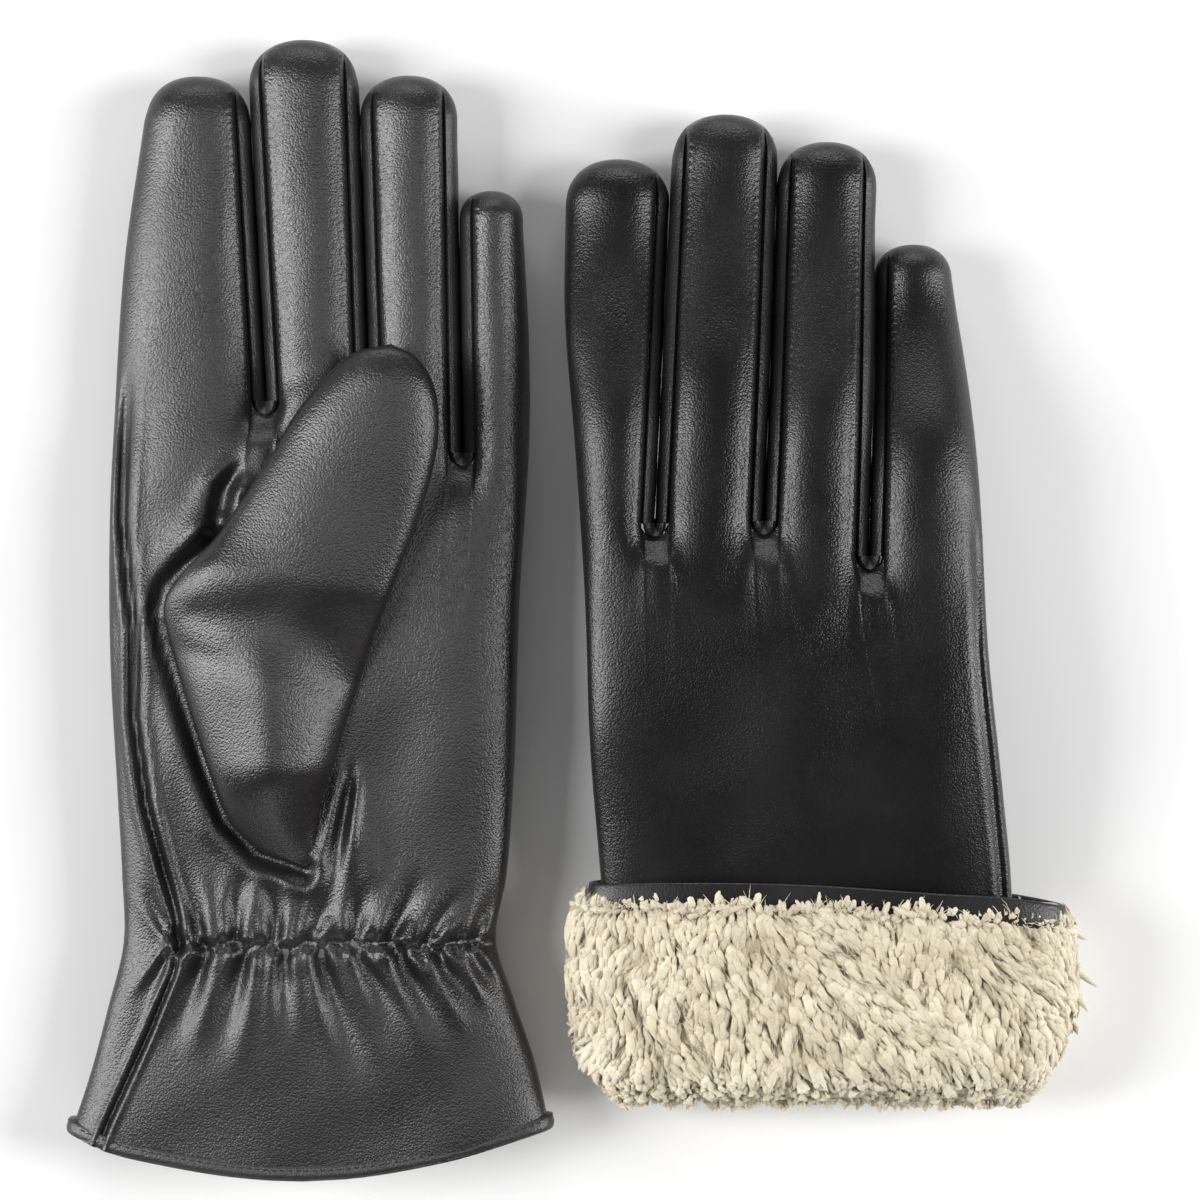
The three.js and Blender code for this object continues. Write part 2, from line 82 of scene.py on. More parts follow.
# %% Lines of the left glove
LEFT = {
    "name": "left", "x": -60.1, "palm": 1, "wrist": -77.4,
    "hem": [(-56.4, -121.2), (-48, -124.6), (-32, -128.4), (0, -131.7), (30, -127.6),
            (55.6, -120.2)],
    "index_edge": [(-56.2, -122), (-51.5, -108), (-47.2, -92), (-43.7, -77.4), (-44.0, -62),
                   (-45, -44), (-46.8, -10), (-47, 10), (-45.8, 48), (-43.5, 82), (-39.5, 110)],
    "little_edge": [(55.4, -122), (51.5, -105), (46.5, -90), (42.6, -77.4), (45, -62), (46.6, -40),
                    (48, 2), (50.4, 45), (50.2, 62), (49, 85)],
    "valleys": [((-10.7, 48), (-14.5, 115)), ((13.3, 45), (11, 114)), ((34.8, 36), (33.8, 100))],
    "outer_crotch": (46, 42),
    "tips": (123.4, 131.9, 123.6, 96.8),
    "knuckles": (72, 74, 70, 58),
    "rise": [(-140, 0), (140, 0)],
}

print("left glove, mm long:", round(max(LEFT["tips"]) - min(y for _, y in LEFT["hem"]), 1))

# %% Lines of the right glove
RIGHT = {
    "name": "right", "x": 51.9, "palm": -1, "wrist": -94,
    "hem": [(-40, -110), (50, -110)],
    "index_edge": [(-41, -110), (-43, -90), (-45.2, -62), (-47.6, -32), (-48.8, 2), (-51.0, 36),
                   (-53.6, 72), (-53.4, 88)],
    "little_edge": [(50, -110), (50, -90), (49.4, -62), (47.4, -44), (43.6, -10), (42.2, 20),
                    (39.8, 50), (36.5, 75)],
    "valleys": [((-32.8, 19.5), (-29.2, 94)), ((-7.8, 20), (-4.2, 100)), ((16.3, 12), (18.3, 80))],
    "outer_crotch": (18, 12),
    "tips": (104.2, 114.6, 108.2, 84.4),
    "knuckles": (44, 46, 42, 35),
    "rise": [(-120, TURNED), (-72, TURNED), (-24, THUMB_THICK + 0.3), (140, THUMB_THICK + 0.3)],
}

print("right glove stands off the table, mm:", [z for _, z in RIGHT["rise"]])

# %% [markdown]
# ## Lines between the drawn points
# Leather under tension takes smooth edges, so each outline is a curve through its points. The
# fourchettes are cut straight, so the valleys between the fingers are straight lines.

# %% Smooth and straight lines
def smooth_line(points, y):
    """The x of a smooth line through [x, y] points at each height y, straight past its ends."""
    xs, ys = np.array(points, float).T
    slope = np.gradient(xs, ys)
    y = np.asarray(y, float)
    i = np.clip(np.searchsorted(ys, y) - 1, 0, len(ys) - 2)
    span = ys[i + 1] - ys[i]
    t = (y - ys[i]) / span
    c = np.clip(t, 0, 1)
    x = ((2 * c**3 - 3 * c**2 + 1) * xs[i] + (c**3 - 2 * c**2 + c) * span * slope[i]
         + (3 * c**2 - 2 * c**3) * xs[i + 1] + (c**3 - c**2) * span * slope[i + 1])
    past = (t - c) * span
    return x + past * np.where(t > 1, slope[i + 1], slope[i])


def straight(points, y):
    """The x of the straight line through two [x, y] points."""
    (x0, y0), (x1, y1) = points
    return x0 + (x1 - x0) * (np.asarray(y, float) - y0) / (y1 - y0)


def ease(t):
    """A soft step from 0 to 1 as t goes from 0 to 1."""
    t = np.clip(t, 0, 1)
    return t * t * (3 - 2 * t)


def arch(share, power):
    """Height of a section, 0 at its edges and 1 in its middle."""
    return np.clip(1 - np.abs(share) ** power, 0, None) ** (1 / power)


print("middle of a smooth line:", smooth_line([(0, 0), (2, 5), (0, 10)], 5))

# %% [markdown]
# ## The section of a finger
# A lined finger is a flattened tube. It keeps its height to the last joint and closes in a round
# tip. The right glove lies on its thumb, so its hand stands higher than its fingertips.

# %% Sections of the fingers
def lift(glove, y):
    """How far the glove's underside stands off the table."""
    ys = [p[0] for p in glove["rise"]]
    zs = [p[1] for p in glove["rise"]]
    near = [np.interp(np.asarray(y) + step, ys, zs) for step in (-6, -3, 0, 3, 6)]
    return sum(near) / len(near)


def span_of(glove, k, y):
    """The outer sides of finger k."""
    half = FINGER_SPACE / 2
    low = smooth_line(glove["index_edge"], y) if k == 0 else straight(glove["valleys"][k - 1], y) + half
    high = smooth_line(glove["little_edge"], y) if k == 3 else straight(glove["valleys"][k], y) - half
    return low, high


def section(glove, k, y):
    """Centre, half width, half height and seam share of finger k at each y."""
    tip, knuckle = glove["tips"][k], glove["knuckles"][k]
    low, high = span_of(glove, k, np.minimum(y, tip - 8))
    half_end = np.subtract(*span_of(glove, k, tip - 10)[::-1]) / 2
    start = tip - 0.95 * half_end
    reach = np.clip((y - start) / (tip - start), 0, 1)
    close = np.maximum(0.0, 1 - reach ** TIP_POWER) ** (1 / TIP_POWER)
    half = (high - low) / 2
    fall = ease((y - knuckle + 8) / (start - knuckle + 10))
    z = FINGER_THICK / 2 + lift(glove, knuckle) * (1 - fall)
    seam_share = np.clip((half - SEAM_INSET) / np.maximum(half * close, 0.01), 0.3, 1)
    return (low + high) / 2, half * close, FINGER_THICK / 2 * np.maximum(close, 0) ** 0.9, z, seam_share


print("right index at its knuckle:", [round(float(v), 1) for v in section(RIGHT, 0, 44.0)])

# %% [markdown]
# ## Creases
# Leather shows its folds more than its grain. Each fold is one crease: a line, a width and a
# depth. The leather sinks along the line and swells on both sides of it, and it fades to its end.

# %% Creases and grooves
def near(p, path):
    """How far each point of p is from a path of [x, y] points, and its place on it, 0 to 1."""
    path = np.array(path, float)
    best = np.full(p.shape[:-1], 1e9)
    place = np.zeros(p.shape[:-1])
    for i, (a, b) in enumerate(zip(path[:-1], path[1:])):
        run = b - a
        t = np.clip(((p[..., :2] - a) @ run) / (run @ run), 0, 1)
        away = np.linalg.norm(p[..., :2] - a - t[..., None] * run, axis=-1)
        place = np.where(away < best, (i + t) / (len(path) - 1), place)
        best = np.minimum(best, away)
    return best, place


def crease(p, path, width, depth, fade=0.3, swell=0.5, start=0.0):
    """The height that one fold adds: sunk along its path, swollen beside it, fading to its end."""
    away, place = near(p, path)
    wide = width * (0.7 + 0.6 * place)
    strength = depth * (1 - ease((place - fade) / (1.02 - fade)))
    if start:
        strength = strength * ease(place / start)
    roll = swell * np.exp(-((away / wide - 1.9) / 0.9) ** 2)
    return strength * (roll - np.exp(-((away / wide) ** 2)))


def groove(p, path, width, depth, swell=0.25, start=0.0):
    """A sewn line sunk evenly into the leather, with a soft roll on each side."""
    away, place = near(p, path)
    if start:
        depth = depth * ease(place / start)
    roll = swell * np.exp(-(away / width - 2.2) ** 2)
    return depth * (roll - np.exp(-((away / width) ** 2.6)))


print("height on a crease 1 mm deep:", crease(np.zeros((1, 2)), [(0, -1), (0, 9)], 2, 1))

# %% Bumps and ripples
def bump(p, centre, radii, height, turn=0.0):
    """One soft round bump, or a dent where height is negative."""
    c, s = math.cos(math.radians(turn)), math.sin(math.radians(turn))
    dx, dy = p[..., 0] - centre[0], p[..., 1] - centre[1]
    u, v = (dx * c + dy * s) / radii[0], (dy * c - dx * s) / radii[1]
    return height * np.exp(-(u * u + v * v))


def ripple(p, seed, wave, height):
    """Soft unevenness: a few sine waves in seeded directions."""
    rng = np.random.default_rng(seed)
    total = 0
    for _ in range(7):
        angle, phase = rng.uniform(0, math.pi), rng.uniform(0, 2 * math.pi)
        size = wave * rng.uniform(0.7, 1.5)
        way = p[..., 0] * math.cos(angle) + p[..., 1] * math.sin(angle)
        total = total + np.sin(2 * math.pi * way / size + phase)
    return height * total / 3


# %% [markdown]
# ## From a grid to a leather skin
# Each skin starts as a flat grid primitive. Its points are laid on the glove's shape row by row,
# and a Solidify modifier gives it the leather's thickness. The normals come from the whole panel,
# so that where a panel is divided between hand and finger, the light runs across without a step.

# %% Grids and their normals
def grid_normals(points):
    """Outward normals of a grid of points, from its differences along rows and columns."""
    normal = np.cross(np.gradient(points, axis=1), np.gradient(points, axis=0))
    return normal / np.maximum(np.linalg.norm(normal, axis=2, keepdims=True), 1e-9)


def lay_grid(name, points):
    """A grid primitive laid on points (rows, columns, xyz in mm)."""
    rows, columns = points.shape[:2]
    bpy.ops.object.select_all(action="DESELECT")
    bpy.ops.mesh.primitive_grid_add(x_subdivisions=columns - 1, y_subdivisions=rows - 1, size=1)
    piece = bpy.context.object
    piece.name = piece.data.name = name
    piece.data.vertices.foreach_set("co", (points * MM).ravel())
    piece.data.update()
    return piece


# %% [markdown]
# ## Flat pieces
# Before it is sewn, each panel is a flat piece of leather.


# %% [markdown]
# ## Thickness
# The leather is split to an even thickness, so a skin is its outer face and the same face again
# one thickness below, with a cut edge between them.

# %% Skins of even thickness
def skin(name, points, normals=None, thickness=LEATHER):
    """A closed shell of even thickness under a grid of points, with the panel's own normals."""
    normals = grid_normals(points) if normals is None else normals
    wanted = normals.reshape(-1, 3)
    piece = lay_grid(name, points)
    faces = len(piece.data.polygons)
    wall = piece.modifiers.new("thickness", "SOLIDIFY")
    wall.thickness, wall.offset = thickness * MM, -1
    bpy.ops.object.modifier_apply(modifier="thickness")
    mesh = piece.data
    mesh.shade_smooth()
    loops = np.empty(len(mesh.loops), np.int64)
    mesh.loops.foreach_get("vertex_index", loops)
    totals = np.empty(len(mesh.polygons), np.int64)
    mesh.polygons.foreach_get("loop_total", totals)
    face_of = np.repeat(np.arange(len(totals)), totals)
    flat = np.empty(3 * len(totals))
    mesh.polygons.foreach_get("normal", flat)
    split = np.concatenate([wanted, -wanted])[loops]
    rim = face_of >= 2 * faces
    split[rim] = flat.reshape(-1, 3)[face_of[rim]]
    mesh.normals_split_custom_set(split.tolist())
    return piece


# %% [markdown]
# ## Tubes and bindings
# A binding is a strip sewn into a ring, and a finger of the lining is a tube: both are grids
# whose ends are sewn together.

# %% Closed rings
def loop_skin(name, points):
    """A tube or a ring from a grid whose last column, and last row if they meet, is its first."""
    piece = lay_grid(name, points)
    bpy.ops.object.mode_set(mode="EDIT")
    bpy.ops.mesh.select_all(action="SELECT")
    bpy.ops.mesh.remove_doubles(threshold=1e-6)
    bpy.ops.mesh.normals_make_consistent(inside=False)
    bpy.ops.object.mode_set(mode="OBJECT")
    piece.data.shade_smooth()
    return piece


# %% [markdown]
# ## The comb: hand and fingers as one panel
# The back and the palm of a glove are each cut in one piece, a hand with four fingers. The grid
# has the same columns from cuff to fingertip, with extra columns that end in the crotches.

# %% Columns of the comb
ACROSS = 30
IN_VALLEY = 8
HAND_STEPS = 170
FINGER_STEPS = 150
CUFF_STEPS = 46
ROLL = 1.5
STITCH = 1.9


def crowd(share):
    """Spreads columns so that more of them lie near a panel's two edges."""
    return share - 0.1 * np.sin(2 * math.pi * share)


def comb_columns():
    """(kind, which, share of its width) for each column of the comb."""
    columns = []
    for k in range(4):
        if k:
            columns += [("valley", k - 1, c / IN_VALLEY) for c in range(1, IN_VALLEY)]
        columns += [("finger", k, float(crowd(c / ACROSS))) for c in range(ACROSS + 1)]
    return columns


COLUMNS = comb_columns()

print("columns of the comb:", len(COLUMNS))

# %% [markdown]
# ## The strip over one finger
# Over each finger the panel is one strip, rolled down to its two seams. Close to the seam the
# stitches draw it into small puckers, one to a stitch.

# %% Strips of the fingers
def finger_strip(glove, side, k, y, place):
    """Points on the upper or lower panel of finger k, rolled down to the seam at its edges."""
    x0, a, b, z0, seam = section(glove, k, y)
    power = FINGER_POWER / 2
    start = math.pi if k == 0 else np.arccos(-seam ** power)
    end = 0.0 if k == 3 else np.arccos(seam ** power)
    angle = start + (end - start) * place
    cos = np.cos(angle)
    share = np.sign(cos) * np.abs(cos) ** (1 / power)
    height = b * arch(share, FINGER_POWER)
    left = 99.0 if k == 0 else (share + seam) * a
    right = 99.0 if k == 3 else (seam - share) * a
    edge = np.maximum(np.minimum(left, right), 0)
    roll = np.clip(1 - edge / ROLL, 0, 1)
    sink = ROLL * (1 - np.sqrt(np.clip(1 - roll**2, 0, 1)))
    pucker = 0.1 * np.exp(-((edge - 0.9) / 0.7) ** 2) * (1 + np.sin(2 * math.pi * y / STITCH))
    valley = 0.12 * np.exp(-((edge - 2.4) / 0.8) ** 2)
    low = np.minimum((sink + pucker + valley) * ease(a / 5), 0.6 * height)
    return np.stack([x0 + a * share, y + 0 * share, z0 + side * (height - low)], -1)


# %% [markdown]
# ## Where the hand meets the fingers
# The hand is laid row by row, from the hem to the wrist and from the wrist to the crotch row. Its
# rows start as flat ovals and take up the shape of the fingers as they come near the crotches.

# %% The whole comb
def comb(glove, side):
    """The two grids of one whole panel, hand and fingers, in the glove's own x."""
    n = len(COLUMNS)
    roots = [v[0] for v in glove["valleys"]]
    outer = (roots[0][0] - 22, glove["outer_crotch"][0]), (roots[2][0] + 13, glove["outer_crotch"][1])
    knots = np.array([outer[0], *roots, outer[1]], float)
    fingers = np.zeros((FINGER_STEPS + 1, n, 3))
    s = np.linspace(0, 1, FINGER_STEPS + 1)
    for j, (kind, k, place) in enumerate(COLUMNS):
        if kind == "finger":
            low, high = span_of(glove, k, roots[min(k, 2)][1])
            y0 = np.interp(low + (high - low) * place, *knots.T)
            y = y0 + (glove["tips"][k] - 0.02 - y0) * (1 - (1 - s) ** 1.4)
            fingers[:, j] = finger_strip(glove, side, k, y, place)
    edge = fingers[0].copy()
    for j, (kind, k, place) in enumerate(COLUMNS):
        if kind == "valley":
            before = max(i for i in range(j) if COLUMNS[i][0] == "finger")
            after = min(i for i in range(j, n) if COLUMNS[i][0] == "finger")
            p, q = fingers[0, before], fingers[0, after]
            turn = math.pi * place
            edge[j] = (p + q) / 2
            edge[j, 0] -= (q[0] - p[0]) / 2 * math.cos(turn)
            edge[j, 1] -= CROTCH_DIP * 1.3 * math.sin(turn)
    low_edge = smooth_line(glove["index_edge"], edge[:, 1])
    high_edge = smooth_line(glove["little_edge"], edge[:, 1])
    share = np.clip((edge[:, 0] - low_edge) / (high_edge - low_edge), 0, 1)
    even = 0.5 - 0.5 * np.cos(math.pi * (0.06 + 0.88 * np.linspace(0, 1, n)))
    even = (even - even[0]) / (even[-1] - even[0])
    steps = np.concatenate([np.linspace(0, 1, CUFF_STEPS)[:-1],
                            np.linspace(1, 2, HAND_STEPS - CUFF_STEPS + 1)])
    hand = np.zeros((len(steps), n, 3))
    first, last = glove["hem"][0][0], glove["hem"][-1][0]
    edge_z = edge[:, 2] - lift(glove, edge[:, 1])
    apart = edge[:, None, 0] - edge[None, :, 0]
    reach = np.exp(-(apart / 6.0) ** 2) * np.gradient(edge[:, 0])[None, :]
    off_valley = ease(np.abs(edge[:, :1] - np.array(roots)[None, :, 0]).min(1) / 7)
    off_side = np.minimum(edge[:, 0] - edge[0, 0], edge[-1, 0] - edge[:, 0])
    blurred_z = edge_z + ((reach * edge_z).sum(1) / reach.sum(1) - edge_z) * ease(off_side / 7)
    for i, step in enumerate(steps[:-1]):
        spread = share + (even - share) * ease((2 - step) / 1.1)
        hem_y = smooth_line([(y, x) for x, y in glove["hem"]], first + (last - first) * spread)
        low_y, high_y = (hem_y, glove["wrist"]) if step <= 1 else (glove["wrist"], edge[:, 1])
        y = low_y + (high_y - low_y) * (step - (step > 1))
        left, right = smooth_line(glove["index_edge"], y), smooth_line(glove["little_edge"], y)
        melt = ease((edge[:, 1] - y) / 40)
        at_root = np.exp(-((edge[:, 1] - y) / (2.2 + 7 * off_valley)) ** 2)
        near_root = np.exp(-((edge[:, 1] - y) / (7.0 + 9 * off_valley)) ** 1.7)
        soft_z = HAND_THICK / 2 + side * 9.2 * arch(2 * spread - 1, HAND_POWER)
        root_z = edge_z * at_root + blurred_z * (near_root - at_root) + soft_z * (1 - near_root)
        up = lift(glove, y)
        flat = HAND_THICK / 2 + side * HAND_THICK / 2 * arch(2 * spread - 1, HAND_POWER)
        z = up + flat * melt + root_z * (1 - melt)
        hand[i] = np.stack([left + (right - left) * spread, y, z], -1)
    hand[-1] = edge
    return hand, fingers


# %% [markdown]
# ## What the leather does on each glove
# The palm of the left glove lies up: the outer seam runs round onto it, elastic pulls its wrist
# together in small pleats, and the thumb pushes folds into it. The back of the right glove lies
# up: it is smoother, with shallow dimples. The hidden sides only ripple.

# %% Base of the left thumb
LEFT_BASE = [(-21, 16), (-29, 10), (-33.5, 5), (-35.3, -1), (-33.2, -10), (-28.5, -25),
             (-24, -38), (-20, -48.5), (-12.5, -56.5), (-1, -60.5)]


print("base of the left thumb, points:", len(LEFT_BASE))

# %% [markdown]
# ## The gathered wrist
# Elastic is sewn across the wrist while stretched. When it draws back, it pinches the leather
# along one line, and pleats run out from it to the hand and to the cuff.

# %% Gathered wrist
def wrist_pleats(p, height, pleats):
    """The line where elastic pinches the wrist, and the pleats that run from it."""
    x = p[..., 0]
    line = height + 0.6 * np.sin(x / 5.3) + 0.5 * np.sin(x / 2.6 + 1)
    inside = ease((x + 33) / 6) * ease((44 - x) / 6)
    away = np.abs(p[..., 1] - line)
    total = inside * (0.35 * np.exp(-((away - 4) / 2) ** 2) - 1.5 * np.exp(-((away / 1.3) ** 2)))
    beads = np.sin(x * 2 * math.pi / 5.2 + 1.4 * np.sin(x / 5))
    total = total + inside * 0.3 * beads * np.exp(-((away - 1.6) / 1.5) ** 2)
    for path, width, depth in pleats:
        total = total + crease(p, path, width, depth, 0.15, 0.75)
    return total


PALM_PLEATS = [
    ([(-25, -77), (-27, -69), (-31, -58)], 1.9, 1.5), ([(-17, -77), (-17, -68), (-14, -57)], 1.7, 1.3),
    ([(-8, -77), (-8, -69), (-10, -58)], 1.9, 1.6), ([(0, -77), (2, -71), (5, -65)], 1.6, 1.2),
    ([(10, -77), (11, -70), (13, -61)], 1.8, 1.4), ([(18, -77), (21, -70), (27, -58)], 1.9, 1.6),
    ([(27, -77), (30, -71), (36, -62)], 1.6, 1.2), ([(-31, -77), (-35, -70), (-39, -62)], 1.5, 0.9),
    ([(37, -77), (40, -70), (43, -62)], 1.5, 0.9), ([(-24, -79), (-28, -90), (-34, -104)], 2.1, 1.6),
    ([(-15, -79), (-18, -91), (-23, -108)], 2.2, 1.7), ([(-6, -79), (-6, -89), (-5, -101)], 1.8, 1.4),
    ([(2, -79), (6, -92), (13, -110)], 2.2, 1.8), ([(11, -79), (15, -87), (20, -96)], 1.7, 1.3),
    ([(20, -79), (25, -89), (33, -103)], 2.1, 1.6), ([(29, -79), (34, -87), (40, -96)], 1.7, 1.2),
    ([(-32, -79), (-36, -86), (-41, -94)], 1.5, 0.9), ([(37, -79), (41, -86), (44, -92)], 1.5, 0.8),
]

print("pleats at the wrist:", len(PALM_PLEATS))

# %% [markdown]
# ## Folds of the left glove
# Each fold is one path with a width and a depth. The outer seam is a deep line in the hand and a
# fine one on the cuff, and the base of the thumb is sunk where it is sewn in.

# %% Folds of the left glove
LEFT_SEAM = [(-41.5, 71), (-43, 40), (-43.5, 20), (-42, 5), (-40.5, -5), (-40.8, -25),
             (-38, -45), (-34, -60), (-30.6, -72), (-30, -78), (-32, -85), (-37, -97),
             (-42, -108), (-47, -119), (-50, -127)]


def left_palm_folds(p):
    """The outer seam, the gathered wrist, the sunk base of the thumb and the folds about it."""
    total = groove(p, LEFT_SEAM[:10], 1.1, 2.5, 0.4, 0.15) + groove(p, LEFT_SEAM[9:], 0.7, 1.35, 0.5)
    total += wrist_pleats(p, -77.5, PALM_PLEATS)
    total += groove(p, LEFT_BASE, 1.9, 2.0, 0.35)
    total += crease(p, [(10, -34), (8, -46), (6, -57), (3, -72)], 1.5, 1.7, 0.45, 0.7, 0.3)
    total += crease(p, [(-15, 35), (-20, 27), (-23, 13)], 2.0, 2.3, 0.8, 0.5, 0.45)
    total += bump(p, (-8, 43), (15, 5), 1.5, 42) + bump(p, (-27, 18), (7, 5), 1.0, 30)
    total += bump(p, (-14.5, 27), (2.6, 4), 1.2, 60) + bump(p, (-33, 32), (8, 14), 0.6, 0)
    total += bump(p, (30, -20), (16, 34), 1.2, 8) + bump(p, (13, -58), (4, 12), 1.0, 12)
    total += bump(p, (24, 20), (9, 16), -0.9, 0) + bump(p, (-36, -50), (4, 24), 0.6, -12)
    total += bump(p, (20, -35), (7, 26), -0.6, -10)
    return total + ripple(p, 3, 34, 0.35)


def left_back_folds(p):
    """The same gathered wrist, weaker, on the side that lies down."""
    pleats = [(path, w, 0.6 * d) for path, w, d in PALM_PLEATS]
    return 0.45 * wrist_pleats(p, -77.5, pleats) + ripple(p, 11, 30, 0.35)


# %% [markdown]
# ## Folds of the right glove
# The back of a hand is cut larger than the palm and lies smooth. It dips a little under each
# crotch, where the fourchettes pull.

# %% Folds of the right glove
RIGHT_SEAM = [(38.6, 50), (40, 25), (40.8, 5), (40.8, -10), (42.3, -25), (44.2, -40),
              (46.5, -60), (47.4, -72)]


def right_back_folds(p):
    """The outer seam, a small dimple under each crotch, and broad soft dents."""
    total = groove(p, RIGHT_SEAM, 0.9, 1.0)
    for x, y in ((-33, 19), (-7.8, 19.5), (16.5, 11)):
        total += bump(p, (x + 1, y - 9), (7, 4), 0.6, 0) + bump(p, (x - 6, y - 15), (8, 6), -0.5, 30)
        total += crease(p, [(x - 3, y - 3), (x - 1, y - 5), (x + 2, y - 5.5)], 1.1, 0.45, 0.6, 0.6, 0.2)
    total += bump(p, (-37, 5), (9, 7), 0.8, 20) + bump(p, (-32, -20), (14, 10), -0.8, 40)
    total += bump(p, (-7, -40), (22, 14), 0.9, 20) + bump(p, (22, -12), (16, 13), -0.7, -20)
    total += bump(p, (30, -45), (11, 16), 0.7, 0) + bump(p, (-38, -48), (8, 12), 0.5, 0)
    return total + ripple(p, 21, 32, 0.4)


def right_palm_folds(p):
    """Only a slack surface, on the side that lies down."""
    return ripple(p, 31, 30, 0.4)


FOLDS = {("left", 1): left_palm_folds, ("left", -1): left_back_folds,
         ("right", 1): right_back_folds, ("right", -1): right_palm_folds}


print("panels with folds:", len(FOLDS))

# %% [markdown]
# ## Laying the folds
# Folds die out at a sewn edge, because the seam holds the leather there.

# %% Laying the folds on the comb
def finger_folds(glove, side, p):
    """Slack in the leather of the fingers: long soft waves."""
    seed = 40 + 2 * (glove is RIGHT) + (side > 0)
    return ripple(p, seed, 26, 0.2)


def keep_off_edges(hand, fingers):
    """How much of the folds each row and column takes: none at the seams and none at the tips."""
    n = len(COLUMNS)
    half = np.minimum(np.arange(n), n - 1 - np.arange(n)) / 5
    hand_share = np.ones(hand.shape[:2]) * ease(half)[None, :]
    finger_share = np.zeros(fingers.shape[:2])
    for j, (kind, _, place) in enumerate(COLUMNS):
        if kind == "finger":
            finger_share[:, j] = ease(6 * min(place, 1 - place))
    finger_share *= ease(np.linspace(8, 0, len(fingers)))[:, None]
    gap = ease((hand[-1, :, 1] - hand[..., 1]) / 8)
    hand_share *= gap + (1 - gap) * finger_share[0]
    return hand_share, finger_share


def folded(glove, side):
    """The comb's grids with their folds, which meet along the crotch row, kept off the table."""
    hand, fingers = comb(glove, side)
    on_hand, on_fingers = keep_off_edges(hand, fingers)
    fold = FOLDS[glove["name"], side]
    hand[..., 2] += side * fold(hand) * on_hand
    slack = finger_folds(glove, side, fingers) * on_fingers
    fade = ease((fingers[..., 1] - fingers[0, :, 1]) / 14)
    deep = fold(fingers) * on_hand[-1]
    fingers[..., 2] += side * (deep * (1 - fade) + slack * fade)
    of_finger = np.array([c[0] == "finger" for c in COLUMNS])
    hand[-1] = np.where(of_finger[:, None], fingers[0], hand[-1])
    for grid in (hand, fingers):
        grid[..., 2] = np.maximum(grid[..., 2], OFF_TABLE)
    return hand, fingers


# %% [markdown]
# ## Panels of the hand and fingers
# A panel is one piece of leather, but a finger bends at its knuckle, so the panel is divided in
# the crotch row: the hand part rides the hand, and each finger part is a piece of its own.

# %% Where each piece lies, and the finger pieces
def place(glove, points):
    """Moves points from the glove's own x to its place beside the other glove."""
    moved = points.copy()
    moved[..., 0] += glove["x"]
    return moved


def finger_columns(k):
    """The comb's columns that belong to finger k."""
    return [j for j, c in enumerate(COLUMNS) if c[0] == "finger" and c[1] == k]


def bend_finger(piece):
    """Bakes the placement of a finger piece into its mesh."""
    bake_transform(piece)


# %% [markdown]
# ## Laying the panels
# The normals along the crotch row are shared by the hand and the finger, so that no line shows
# between them. The lower panels are laid in reverse, so that they face down.

# %% Hand and finger skins
leather_pieces, fourchette_pieces, fleece_pieces, thread_pieces = [], [], [], []
grids = {}
for glove in (LEFT, RIGHT):
    for side in (1, -1):
        name = glove["name"]
        face = "palm" if side == glove["palm"] else "back"
        hand, fingers = folded(glove, side)
        grids[name, side] = hand, fingers
        hand, fingers = place(glove, hand), place(glove, fingers)
        order = slice(None) if side > 0 else slice(None, None, -1)
        hand_normals = grid_normals(hand[:, order])
        for k in range(4):
            j = finger_columns(k)
            j = j if side > 0 else j[::-1]
            normals = grid_normals(fingers[:, j])
            place_in_hand = np.array(j) if side > 0 else len(COLUMNS) - 1 - np.array(j)
            shared = hand_normals[-1, place_in_hand] + normals[0]
            shared /= np.linalg.norm(shared, axis=-1, keepdims=True)
            hand_normals[-1, place_in_hand] = normals[0] = shared
            piece = skin(f"{name}_{FINGERS[k]}_{face}_leather", fingers[:, j], normals)
            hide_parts(f"{name}_{FINGERS[k]}_{face}")
            bend_finger(piece)
            leather_pieces.append(piece)
        piece = skin(f"{name}_{face}_leather", hand[:, order], hand_normals)
        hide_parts(f"{name}_{face}_panel")
        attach(piece, f"{name}_hand")
        leather_pieces.append(piece)
print("leather panels:", len(leather_pieces))

# %% [markdown]
# ## Fourchettes and crotches
# Between two fingers runs one narrow strip, a fourchette on each finger that meets in the crotch.
# It is sewn to the palm above and the back below, and bulges a little between its two seams.

# %% Shape of a fourchette
LEVELS = 14


def fourchette(glove, k, hand):
    """The side strip of finger k: rows from crotch to tip, columns from seam to seam."""
    columns = finger_columns(k)
    edge = columns[-1] if hand > 0 else columns[0]
    top, bottom = (grids[glove["name"], side][1][:, edge] for side in (1, -1))
    x0, a, b, z0, _ = section(glove, k, top[:, 1])
    level = np.sin(np.linspace(-1, 1, LEVELS) * math.pi / 2)[::-1]
    share = (level + 1) / 2
    room = np.full(len(top), -0.2) * np.minimum(1, a / 6)
    z = bottom[:, 2:3] + room[:, None] + (top[:, 2:3] - bottom[:, 2:3] - 2 * room[:, None]) * share
    off_middle = np.abs((z - z0[:, None]) / np.maximum(b, 0.3)[:, None])
    inside = np.clip(1 - off_middle ** FINGER_POWER, 0.02, 1)
    x = x0[:, None] + hand * a[:, None] * inside ** (1 / FINGER_POWER)
    tuck = 0.7 * np.exp(-((1 - np.abs(level)) / 0.16) ** 2) * np.minimum(1, a / 6)[:, None]
    wave = 0.05 * np.sin(top[:, 1:2] * 2 * math.pi / 17 + 3 * level) * (1 - level**2)
    points = np.stack([x - hand * (tuck + wave), top[:, 1:2] + 0 * z, z], -1)
    return points if hand > 0 else points[:, ::-1]


